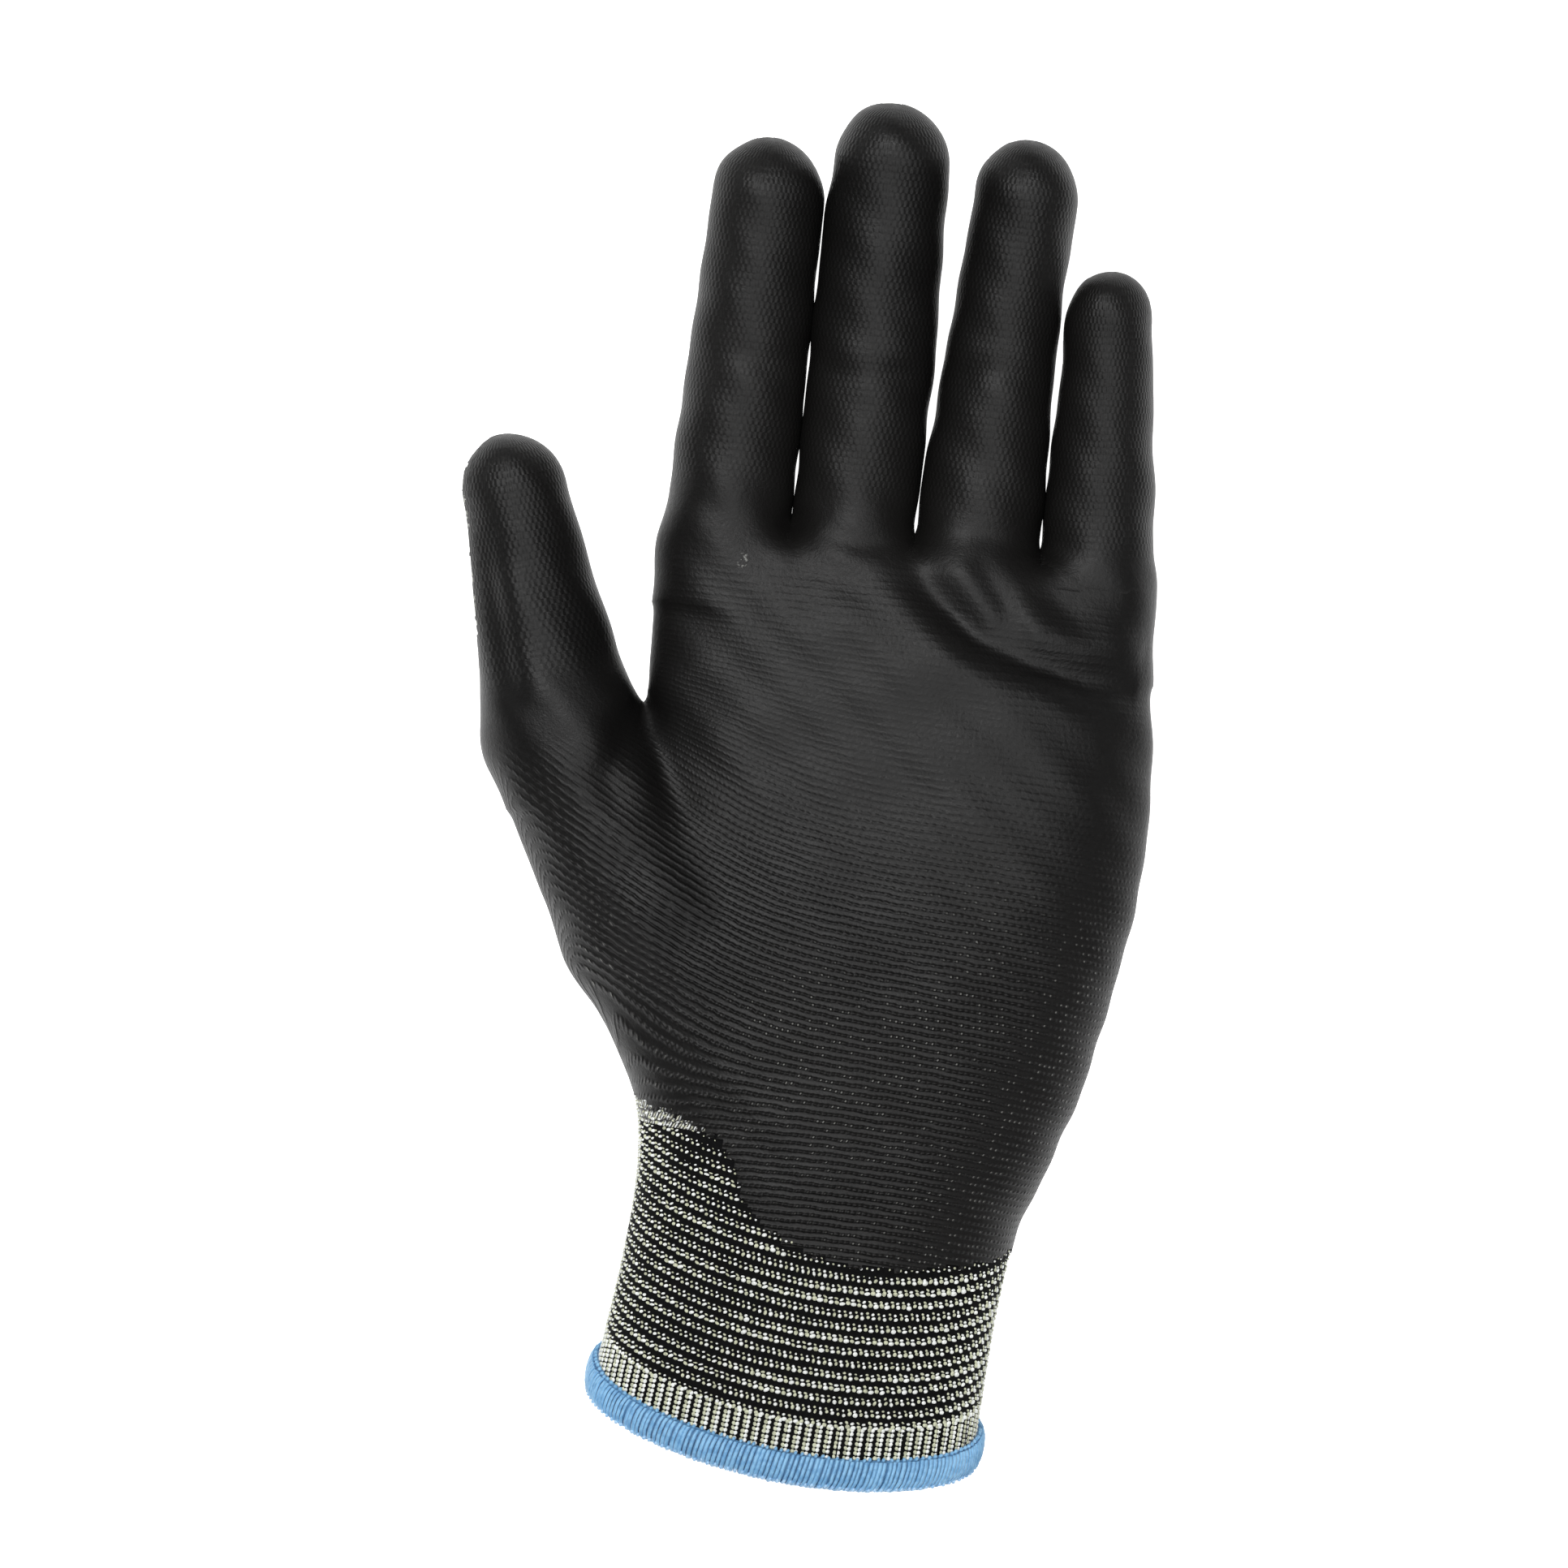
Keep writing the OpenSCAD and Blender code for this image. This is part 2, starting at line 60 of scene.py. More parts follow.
# ------------------------------------------------------------------ the hand's form (mm)
SH = np.array([5.0, -2.35, 0.0])
FING = {
 'index': dict(b=[-21.9, 46.5, 15.2], lean=-0.3, roll=0, pitch=3, curl=0.16, w=[[-14, 8.6], [-5, 9.9], [0, 10.3], [12, 10.2], [30, 9.8], [45, 9.4], [56, 9.1]], d=[[-14, 8.4], [-5, 9.4], [0, 9.8], [12, 9.5], [30, 9.0], [45, 8.6], [56, 8.2]], e=56, L=65.5, f=[8, 28, 47]),
 'middle': dict(b=[0, 46.5, 15.6], lean=1.0, roll=0, pitch=3, curl=0.16, w=[[-14, 8.6], [-5, 9.6], [0, 9.9], [12, 9.8], [32, 9.9], [52, 9.8], [64, 9.5]], d=[[-14, 8.4], [-5, 9.5], [0, 9.9], [12, 9.6], [32, 9.2], [52, 8.8], [64, 8.4]], e=64, L=74, f=[8, 30, 52]),
 'ring': dict(b=[21.5, 45.5, 15.4], lean=-0.9, roll=0, pitch=3, curl=0.16, w=[[-14, 8.6], [-5, 9.6], [0, 9.9], [12, 9.8], [24, 9.1], [36, 8.6], [50, 8.6], [62, 8.5]], d=[[-14, 8.3], [-5, 9.3], [0, 9.7], [12, 9.4], [36, 8.8], [50, 8.5], [62, 8.1]], e=62, L=71.5, f=[8, 29, 50]),
 'little': dict(b=[43.3, 42.0, 14.6], lean=4.8, roll=0, pitch=4, curl=0.18, w=[[-14, 7.6], [-5, 8.9], [0, 9.3], [14, 9.0], [28, 8.2], [40, 7.5], [46, 7.2]], d=[[-14, 7.6], [-5, 8.6], [0, 9.0], [14, 8.7], [28, 7.9], [40, 7.2], [46, 6.9]], e=46, L=54.8, f=[7.5, 24, 39]),
 'thumb': dict(b=[-47.0, 11.5, 18.5], lean=21.8, roll=35, pitch=4, curl=0.1, w=[[-14, 10.6], [-5, 12.2], [0, 12.7], [8, 12.0], [16, 11.2], [26, 9.9], [36, 8.9]], d=[[-14, 9.6], [-5, 11.2], [0, 11.6], [8, 11.0], [16, 10.2], [26, 9.4], [36, 8.8]], e=36.5, L=46.5, f=[3.5, 14.5, 29]),
}
NAMES = ['index', 'middle', 'ring', 'little', 'thumb']


def smooth_table(rows, lo, hi, sig):
    t = np.asarray(rows, float)
    x = np.linspace(lo, hi, int((hi - lo) * 2) + 1)
    y = np.interp(x, t[:, 0], t[:, 1])
    n = int(sig * 2 * 3)
    k = np.exp(-0.5 * (np.arange(-n, n + 1) / (sig * 2)) ** 2)
    k /= k.sum()
    yp = np.concatenate([np.full(n, y[0]), y, np.full(n, y[-1])])
    return x, np.convolve(yp, k, 'valid')


for f in FING.values():
    l, r = math.radians(f['lean']), math.radians(f['roll'])
    f['fwd'] = np.array([-math.sin(l), math.cos(l), 0]); rg = np.array([math.cos(l), math.sin(l), 0]); Z = np.array([0, 0, 1.0])
    f['nrm'] = math.cos(r) * Z + math.sin(r) * rg
    f['lat'] = math.cos(r) * rg - math.sin(r) * Z
    f['rad'] = 180 / (math.pi * f['curl'])
    f['p0'] = math.radians(f['pitch'])
    f['W'] = smooth_table(f['w'], -20, 80, 3.0)
    f['D'] = smooth_table(f['d'], -20, 80, 3.0)


def at(f, s, x=0.0, y=0.0):
    s = np.asarray(s, float)[..., None]; x = np.asarray(x, float)[..., None]; y = np.asarray(y, float)[..., None]
    a = np.radians(f['pitch'] + f['curl'] * s)
    return (np.array(f['b']) + f['rad'] * (np.sin(a) - math.sin(f['p0'])) * f['fwd'] - f['rad'] * (np.cos(a) - math.cos(f['p0'])) * f['nrm']
            + x * f['lat'] + y * (np.cos(a) * f['nrm'] - np.sin(a) * f['fwd']))


def sst(x, a, b):
    t = np.clip((x - a) / (b - a), 0, 1)
    return t * t * (3 - 2 * t)


SLIM = 0.6


def slim(s):
    return SLIM * sst(s, -1.0, 5.0)


def local(f, P):
    d = P - np.array(f['b'])
    a = d @ f['fwd']; r = d @ f['lat']; n = d @ f['nrm']
    cx = a + f['rad'] * math.sin(f['p0']); cy = f['rad'] * math.cos(f['p0']) - n
    ang = np.arctan2(cx, cy); rho = np.hypot(cx, cy)
    return (np.degrees(ang) - f['pitch']) / f['curl'], r, f['rad'] - rho


def dfinger(f, P, narrow=True):
    s, r, y = local(f, P)
    w = np.interp(s, *f['W']); d = np.interp(s, *f['D'])
    if narrow:
        w = w - slim(s)
    se = np.maximum(s - f['e'], 0) / (f['L'] - f['e'])
    X, Y = r / w, y / d
    q = np.sqrt(X * X + Y * Y + se * se) + 1e-9
    g = np.sqrt((X / w) ** 2 + (Y / d) ** 2 + (se / (f['L'] - f['e'])) ** 2) / q + 1e-9
    dd = (q - 1) / g
    dd = np.where(q < 0.5, (q - 1) * np.minimum(w, d), dd)
    return np.maximum(dd, -14 - s), s, r, y


PALM = np.array([
 # y, left, right, bottom, top, exponent
 [-125, -27.8, 39.6, 2.4, 38.4, 2.3], [-112, -27.5, 39.7, 2.0, 38.4, 2.3], [-98, -25.8, 40.1, 1.2, 38.6, 2.3], [-85, -24.2, 40.6, 0.8, 38.7, 2.3],
 [-72, -23.2, 41.9, 0.7, 38.6, 2.3], [-66, -23.2, 43.2, 0.6, 38.5, 2.35], [-57, -24.2, 46.9, 0.3, 37.4, 2.4], [-45, -27.5, 50.5, -0.6, 35.6, 2.45], [-30, -29, 53.7, -0.8, 33.8, 2.45],
 [-14, -30, 56.0, -0.8, 32.4, 2.45], [0, -30.5, 57.0, -0.6, 31.4, 2.45], [13, -31.2, 56.2, -0.2, 30.2, 2.45], [28, -32.2, 53.7, 1.2, 28.4, 2.4], [43, -31.8, 51.3, 4.0, 26.0, 2.35], [60, -31.6, 51.5, 6, 25.0, 2.3]])
PT = [smooth_table(PALM[:, [0, i]], -125, 60, 4.0) for i in range(1, 6)]


def dpalm(P):
    y = P[..., 1]
    L, R, B, T, N = [np.interp(y, *t) for t in PT]
    hw, hd = (R - L) / 2, (T - B) / 2
    X = np.abs((P[..., 0] - (L + R) / 2) / hw) + 1e-6; Zz = np.abs((P[..., 2] - (B + T) / 2) / hd) + 1e-6
    a, b = X ** N, Zz ** N
    q = (a + b) ** (1 / N)
    g = q ** (1 - N) * np.sqrt((X ** (N - 1) / hw) ** 2 + (Zz ** (N - 1) / hd) ** 2)
    dd = np.where(q < 0.4, (q - 1) * np.minimum(hw, hd), (q - 1) / np.maximum(g, 1e-4))
    return smax(dd, y - 44.4, 5.0)


def smin(a, b, k):
    h = np.maximum(k - np.abs(a - b), 0) / k
    return np.minimum(a, b) - h * h * k * 0.25


def smax(a, b, k):
    return -smin(-a, -b, k)


def cone(P, A, B, ra, rb, sz=1.0):
    A = np.array(A, float); B = np.array(B, float)
    Q = P.copy(); Q[..., 2] = (Q[..., 2] - A[2]) / sz + A[2]
    d = B - A; t = np.clip(((Q - A) @ d) / (d @ d), 0, 1)
    return np.linalg.norm(Q - A - t[..., None] * d, axis=-1) - (ra + (rb - ra) * t)


def dthenar(P):
    a = cone(P, (-8, -50, 17), (-27, -24, 17), 14.8, 15.0)
    b = cone(P, (-27, -24, 17), (-45.2, 5, 17.5), 15.0, 13.2)
    return smin(a, b, 3.0)


def full(P, idx=None):
    d = dpalm(P)
    df = None
    for n in NAMES[:4]:
        x = dfinger(FING[n], P)[0]
        df = x if df is None else np.minimum(df, x)
    d = smin(d, df, 5.0)
    th = smin(dthenar(P), dfinger(FING['thumb'], P)[0], 5.0)
    d = smin(d, th, 4.0)
    # flattened where it lies on the table
    return smax(d, -P[..., 2] + 0.0, 1.6)


H = 0.78
lo = np.array([-72.0, -122.0, -1.6]); hi = np.array([61.0, 124.0, 42.0])
n = np.ceil((hi - lo) / H).astype(int) + 1
gx, gy, gz = [lo[i] + H * np.arange(n[i]) for i in range(3)]
D = np.empty(n, np.float32)
for j0 in range(0, n[1], 24):
    yy = gy[j0:j0 + 24]
    G = np.stack(np.meshgrid(gx, yy, gz, indexing='ij'), -1)
    D[:, j0:j0 + 24, :] = full(G)


def surface_nets(D):
    S = D < 0
    nx, ny, nz = D.shape
    c = np.zeros((nx - 1, ny - 1, nz - 1), np.uint8)
    for i in (0, 1):
        for j in (0, 1):
            for k in (0, 1):
                c += S[i:nx - 1 + i, j:ny - 1 + j, k:nz - 1 + k]
    act = (c > 0) & (c < 8)
    I = np.argwhere(act)
    idx = -np.ones(act.shape, np.int64); idx[act] = np.arange(len(I))
    pos = np.zeros((len(I), 3)); cnt = np.zeros(len(I))
    cor = [(a, b, e) for a in (0, 1) for b in (0, 1) for e in (0, 1)]
    for ax in range(3):
        for c0 in cor:
            if c0[ax]:
                continue
            c1 = list(c0); c1[ax] = 1
            v0 = D[I[:, 0] + c0[0], I[:, 1] + c0[1], I[:, 2] + c0[2]]; v1 = D[I[:, 0] + c1[0], I[:, 1] + c1[1], I[:, 2] + c1[2]]
            m = (v0 < 0) != (v1 < 0)
            t = v0[m] / (v0[m] - v1[m])
            p = I[m].astype(float) + np.array(c0); p[:, ax] += t
            pos[m] += p; cnt[m] += 1
    pos /= cnt[:, None]
    quads = []
    for ax in range(3):
        sl0 = [slice(None)] * 3; sl1 = [slice(None)] * 3
        sl0[ax] = slice(0, -1); sl1[ax] = slice(1, None)
        a, b = S[tuple(sl0)], S[tuple(sl1)]
        E = np.argwhere(a != b)
        o = [q for q in range(3) if q != ax]
        E = E[(E[:, o[0]] > 0) & (E[:, o[1]] > 0) & (E[:, o[0]] < D.shape[o[0]] - 1) & (E[:, o[1]] < D.shape[o[1]] - 1)]
        f = a[E[:, 0], E[:, 1], E[:, 2]]

        def cell(du, dv):
            C = E.copy(); C[:, o[0]] -= du; C[:, o[1]] -= dv
            return idx[C[:, 0], C[:, 1], C[:, 2]]
        q = np.stack([cell(1, 1), cell(0, 1), cell(0, 0), cell(1, 0)], 1)
        flip = f if ax != 1 else ~f
        q[~flip] = q[~flip][:, ::-1]
        quads.append(q)
    return pos, np.vstack(quads)


V, Q = surface_nets(D)
V = lo + V * H


def grad(P):
    g = np.empty_like(P); e = 0.05
    for i in range(3):
        d = np.zeros(3); d[i] = e
        g[:, i] = full(P + d) - full(P - d)
    return g / (2 * e)


for _ in range(2):
    d = full(V); g = grad(V); g2 = np.maximum((g * g).sum(1), 0.2)
    V = V - np.clip(d / g2, -0.6, 0.6)[:, None] * g


EXTRA = {          # how much each side bulges where it presses on its neighbour: (side, places, mm)
 'index': (1, (0, 4, 50, 60), (0.5, 0.52, 0.5, 0.0)),
 'middle': (0, (0, 4, 50, 60), (0.5, 0.52, 0.5, 0.0)),
 'ring': (0, (0, 4, 30, 42), (0.75, 0.6, 0.35, 0.0)),
 'little': (-1, (0, 4, 26, 38), (0.75, 0.6, 0.35, 0.0)),
}
MR = ((0, 6, 12, 18, 24, 30, 36, 46, 56), (0.55, 0.65, 0.75, 0.85, 0.95, 1.0, 0.8, 0.4, 0.1))


def extra(nme, s, r, w):
    e = np.zeros(len(s)); q = sst(np.abs(r) / w, 0.15, 0.9)
    if nme in EXTRA:
        sd, xs, ys = EXTRA[nme]; v = np.interp(s, xs, ys)
        left = np.interp(s, *MR) if nme == 'ring' else (v if nme in ('middle', 'little') else 0 * v)
        right = np.interp(s, *MR) if nme == 'middle' else (v if nme in ('index', 'ring') else 0 * v)
        e = np.where(r > 0, right, left) * sst(s, -3.0, 0.5)
    return e * q


def widen(P):
    """Fingers are meshed a little slim so that the gaps between them stay open, then get their real width."""
    out = P.copy()
    best = np.full(len(P), 1e9); who = -np.ones(len(P), int)
    S = {}
    for i, nme in enumerate(NAMES):
        f = FING[nme]; d, s, r, y = dfinger(f, P)
        S[nme] = s
        m = (d < best) & (s > -3.2)
        best[m] = d[m]; who[m] = i
    for i, nme in enumerate(NAMES):
        f = FING[nme]; m = (who == i) & (best < 2.5)
        s, r, y = local(f, P[m]); w = np.interp(s, *f['W'])
        k = (w + extra(nme, s, r, w)) / (w - slim(s))
        out[m] = P[m] + (r * (k - 1))[:, None] * f['lat']
    return out


V = widen(V)


def vnormals(V, Q):
    d1 = V[Q[:, 2]] - V[Q[:, 0]]; d2 = V[Q[:, 3]] - V[Q[:, 1]]
    fn = np.cross(d1, d2)
    N = np.zeros_like(V)
    for i in range(4):
        for ax in range(3):
            N[:, ax] += np.bincount(Q[:, i], fn[:, ax], len(V))
    return N / np.maximum(np.linalg.norm(N, axis=1), 1e-12)[:, None]


N = vnormals(V, Q)
# the normals must point away from the hand
cen = V.mean(0)
if np.mean(((V - cen) * N).sum(1)) < 0:
    Q = Q[:, ::-1]; N = -N


def smooth(F, Q, it, n):
    E = np.vstack([Q[:, [0, 1]], Q[:, [1, 2]], Q[:, [2, 3]], Q[:, [3, 0]]])
    deg = np.bincount(E[:, 0], minlength=n) + np.bincount(E[:, 1], minlength=n)
    for _ in range(it):
        G = np.zeros_like(F)
        for ax in range(F.shape[1]):
            G[:, ax] = np.bincount(E[:, 0], F[E[:, 1], ax], n) + np.bincount(E[:, 1], F[E[:, 0], ax], n)
        F = 0.5 * F + 0.5 * G / deg[:, None]
    return F


# ------------------------------------------------------------------ soft form: folds, hollows, puckers
def seg(P, A, B):
    A = np.array(A, float); B = np.array(B, float)
    d = B - A; t = np.clip(((P[:, :2] - A) @ d) / (d @ d), 0, 1)
    return np.linalg.norm(P[:, :2] - A - t[:, None] * d, axis=1), t


def px(x, y, z=28.0):
    """photograph position -> plan position on a surface at height z"""
    k = (1000.0 - (z - 18)) / 1000.0
    dx, dy = (x - 966) * k, -(y - 966) * k
    c, s_ = math.cos(math.radians(7)), math.sin(math.radians(7))
    return (0.14 * (dx * c - dy * s_) - 6.44, 0.14 * (dx * s_ + dy * c) + 1.89)


def crease(P, pts, width, depth, ridge=0.0, rw=None):
    """A soft valley along a line of photograph points, with a ridge on its left side."""
    pts = [px(*p) for p in pts]
    best = np.full(len(P), 1e9); tt = np.zeros(len(P)); side = np.zeros(len(P))
    m = len(pts) - 1
    for i in range(m):
        A, B = np.array(pts[i]), np.array(pts[i + 1])
        d = B - A; t = np.clip(((P[:, :2] - A) @ d) / (d @ d), 0, 1)
        v = P[:, :2] - A - t[:, None] * d
        r = np.linalg.norm(v, axis=1); k = r < best
        best[k] = r[k]; tt[k] = (i + t[k]) / m; side[k] = np.sign(d[0] * v[k, 1] - d[1] * v[k, 0])
    fade = np.sin(np.pi * np.clip(tt, 0, 1)) ** 0.6
    out = -depth * np.exp(-(best / width) ** 2) * fade
    if ridge:
        rw = rw or width
        out += ridge * np.exp(-((best - width * 1.5) / rw) ** 2) * fade * (side > 0)
        out += 0.4 * ridge * np.exp(-((best - width * 1.5) / rw) ** 2) * fade * (side < 0)
    return out


def bump(P, c, rx, ry, h, rot=0.0):
    c = px(*c); a = math.radians(rot)
    dx, dy = P[:, 0] - c[0], P[:, 1] - c[1]
    u, v = dx * math.cos(a) + dy * math.sin(a), -dx * math.sin(a) + dy * math.cos(a)
    return h * np.exp(-(u / rx) ** 2 - (v / ry) ** 2)


def relief(P, Nn):
    up = sst(Nn[:, 2], 0.05, 0.5)
    d = np.zeros(len(P))
    # fold that runs down from between the ring and little fingers
    d += crease(P, [(1112, 672), (1150, 728), (1204, 784), (1265, 816), (1330, 836), (1400, 850)], 3.6, 1.9, 1.2, 4.2)
    d += crease(P, [(1200, 680), (1222, 722), (1243, 758), (1266, 790)], 2.4, 0.8, 0.2, 2.8)
    d += crease(P, [(1010, 655), (1060, 672), (1120, 668)], 2.2, 0.5, 0.3)
    # base of the fingers
    d += crease(P, [(975, 625), (982, 670), (1000, 720)], 3.4, 0.6)
    d += bump(P, (1075, 850), 24, 15, 0.9, 10)
    # hollow of the palm, heel and mounds
    d += bump(P, (1010, 960), 16, 24, -1.6, 15)
    d += bump(P, (1300, 960), 13, 22, 1.1, 0)
    d += bump(P, (1100, 790), 26, 7, 0.9, -12)
    d += bump(P, (860, 1050), 11, 26, 1.6, 28)
    # line at the root of the thumb
    d += crease(P, [(808, 850), (835, 930), (900, 1050), (930, 1150)], 8.0, 1.5)
    d += crease(P, [(806, 858), (775, 900), (752, 955), (765, 1010)], 3.4, 1.1, 0.5, 4)
    # thumb: edge ridge and folds
    d += crease(P, [(596, 650), (612, 760), (640, 880)], 2.4, 0.7, 0.35, 3.0)
    # fingers: soft folds at the joints
    d += crease(P, [(1010, 452), (1080, 462), (1150, 455)], 2.2, 0.35, 0.15)
    d += crease(P, [(1155, 470), (1210, 455), (1300, 470)], 2.2, 0.35, 0.2)
    d += crease(P, [(880, 430), (940, 445), (1000, 440)], 2.4, 0.3, 0.15)
    d *= up
    return d


d = relief(V, N)
# gentle unevenness of a soft glove, made of slow waves
P = V
wav = 0.16 * np.sin(P[:, 0] * 0.31 + 1.3 * np.sin(P[:, 1] * 0.11)) * np.sin(P[:, 1] * 0.19 + 0.7) + 0.10 * np.sin(P[:, 0] * 0.17 - P[:, 1] * 0.41 + P[:, 2] * 0.3) + 0.08 * np.sin(P[:, 1] * 0.63 + P[:, 0] * 0.52)
d += wav * sst(P[:, 1], -100, -60)
V = V + d[:, None] * N
V[:, 2] = np.maximum(V[:, 2], 0.0)
V = smooth(V, Q, 1, len(V)) if False else V
N = vnormals(V, Q)
N = smooth(N, Q, 1, len(V)); N /= np.linalg.norm(N, axis=1)[:, None]

# ------------------------------------------------------------------ the knit's own coordinates
def rim(P):
    L, R, B, T, _ = [np.interp(P[:, 1], *t) for t in PT]
    L = np.minimum(L, np.interp(P[:, 1], (-57, -45, -30, -14, 0, 8, 22, 43), (-24.2, -29, -38.5, -47.5, -55, -56, -33, -32)))
    a = np.arctan2((P[:, 2] - (B + T) / 2) / ((T - B) / 2), (P[:, 0] - (L + R) / 2) / ((R - L) / 2))
    return a, -105 - 5.5 * np.sin(a) - 2.8 * np.sin(a) ** 2 - 2.6 * np.cos(a)


def arc_table(hw, hd, n):
    t = np.linspace(-math.pi, math.pi, 2001)
    # points of the section at each polar angle of the scaled section
    c, s = np.cos(t), np.sin(t)
    rr = (np.abs(c) ** n + np.abs(s) ** n) ** (-1 / n)
    x, z = hw * rr * c, hd * rr * s
    L = np.concatenate([[0], np.cumsum(np.hypot(np.diff(x), np.diff(z)))])
    return t, L


ARC_P = arc_table(43, 16, 2.45)
ARC_C = arc_table(33, 19.5, 2.3)

# nearest finger, and place along it, for every vertex and face
FC = V[Q].mean(1)


def owner(P):
    best = np.full(len(P), 1e9); who = -np.ones(len(P), int); S = np.zeros(len(P)); A = np.zeros(len(P))
    for i, nme in enumerate(NAMES):
        f = FING[nme]; dd, s, r, y = dfinger(f, P, narrow=False)
        s0 = START[nme]
        m = (dd < best) & (s > s0) & (dd < 3.5)
        best[m] = dd[m]; who[m] = i; S[m] = s[m]
        w = np.interp(s, *f['W']); d_ = np.interp(s, *f['D'])
        A[m] = np.arctan2(y[m] / d_[m], r[m] / w[m])
    return who, S, A


START = {'index': 0.6, 'middle': 0.6, 'ring': 0.6, 'little': 0.4, 'thumb': -2.2}
fwho, fS, fA = owner(FC)
vwho, vS, vA = owner(V)

a_, rimy = rim(V)
tb = sst(V[:, 1], -85, -25)
ku = (np.interp(a_, *ARC_P) * tb + np.interp(a_, *ARC_C) * (1 - tb)) / 1.35
bow = 0.0016 * (V[:, 0] - 10) ** 2 * sst(V[:, 1], 30, -50) * np.tanh(2.5 * N[:, 2] + 0.5)
# the courses slope down towards the middle of the palm below the thumb
fan = -0.62 * 9.0 * np.log1p(np.exp(np.clip((-8.0 - V[:, 0]) / 9.0, -20, 20))) * sst(V[:, 1], -62, -34) * sst(V[:, 1], 34, 2) * sst(N[:, 2], -0.7, 0.7)
kv = (V[:, 1] + bow + fan) / 1.3
kb = np.ones(len(V))
fm = vwho >= 0
ku = np.where(fm, (vA + math.pi) / (2 * math.pi) * 46, ku)
kv = np.where(fm, vS / 1.2, kv)
# relief of the knit through the coating: strong over the heel, soft higher up
kb = 0.13 + 0.87 * sst(V[:, 1], 18, -45)
_, sth, rth, yth = dfinger(FING['thumb'], V, narrow=False)
nearth = (V[:, 0] < -30) & (V[:, 1] > -20)
kf = np.where(fm, sst(vS, 0.5, 6.0), 0.0)
kb = np.where(fm, 0.30 * sst(vS, 2.5, 11.0), kb * sst(V[:, 1], 45, 33) * np.where(nearth, sst(sth, -3.5, -12.0), 1.0))
kb = np.where(fm & (vwho == 4), 0.34 * sst(vS, 0.0, 9.0), kb)


# a small worn spot at the root of the first finger
wc = px(915, 690)
wr = np.exp(-((V[:, 0] - wc[0]) / 0.8) ** 2 - ((V[:, 1] - wc[1]) / 1.4) ** 2) * (N[:, 2] > 0.2)

# ------------------------------------------------------------------ where the coating reaches
EDGE = np.array([(-40, -52), (-23.4, -56.1), (-15.4, -58.3), (-10.2, -60.5), (-6.8, -65.0), (-4.8, -70.4), (-0.1, -74.1), (3.8, -77.1), (9.6, -78.5), (18.2, -79.2), (29.3, -78.2), (37.6, -76.5), (41.6, -74.6), (60, -70)]) / 1.02


def edge_y(x):
    return np.interp(x, EDGE[:, 0], EDGE[:, 1])


def hash1(i):
    x = np.sin(np.asarray(i, float) * 12.9898 + 4.1414) * 43758.5453
    return x - np.floor(x)


def coated(P, who, S, A):
    L, R, B, T, _ = [np.interp(P[:, 1], *t) for t in PT]
    zs = (B + T) / 2 - 2.5 - 3.0 * sst(P[:, 0], -20, -50)
    jag = 0.9 * (hash1(np.floor(P[:, 1] / 1.3) * 7 + np.sign(P[:, 0])) - 0.5)
    palm = (P[:, 2] > zs + jag) & (P[:, 1] > edge_y(P[:, 0]) + 0.9 * (hash1(np.floor(P[:, 0] / 1.1)) - 0.5))
    lim = np.where(who == 4, math.radians(-15), math.radians(-5)) + 0.16 * (hash1(np.floor(S / 1.0) * 3 + who + 11 * (np.abs(A) > 1.6)) - 0.5)
    # the outer side of the thumb's film runs down to meet the palm's
    low = np.where(who == 4, lim - math.radians(45) * sst(S, 17, 1), lim)
    fin = (A > lim) | (A < -math.pi - low)
    # the dip covers the very ends of the fingers
    for i, nme in enumerate(NAMES):
        f = FING[nme]
        fin |= (who == i) & (S > f['L'] - 3.0 + 0.0 * S) & (A > -1.9) & (A < 3.9) & ((A > -0.9) | (A < -2.2))
    return np.where(who >= 0, fin, palm)


fcoat = coated(FC, fwho, fS, fA)
# rim: everything past the end of the cuff goes
_, frim = rim(FC)
keep = ~((FC[:, 1] < frim))
Q, FC, fwho, fS, fA, fcoat = Q[keep], FC[keep], fwho[keep], fS[keep], fA[keep], fcoat[keep]
# vertices on the cut edge are drawn onto the rim
bq = np.bincount(Q.ravel(), minlength=len(V))
nearrim = (V[:, 1] < -95) & (bq > 0) & (bq < 4)
V[nearrim, 1] = rimy[nearrim]

CUTS = {'index': (17.5, 38.5), 'middle': (18.5, 41.5), 'ring': (18.0, 40.0), 'little': (15.8, 31.8), 'thumb': (8.7, 21.0)}
SEGS = {n_: ('base', 'middle', 'tip') for n_ in NAMES}; SEGS['thumb'] = ('root', 'base', 'tip')
key = np.zeros(len(Q), int)             # 0 palm, 1 wrist and cuff, 2+ finger pieces
key[(fwho < 0) & (FC[:, 1] < -58.5)] = 1
for i, nme in enumerate(NAMES):
    c1, c2 = CUTS[nme]
    m = fwho == i
    key[m] = 2 + 3 * i + (fS[m] > c1).astype(int) + (fS[m] > c2).astype(int)


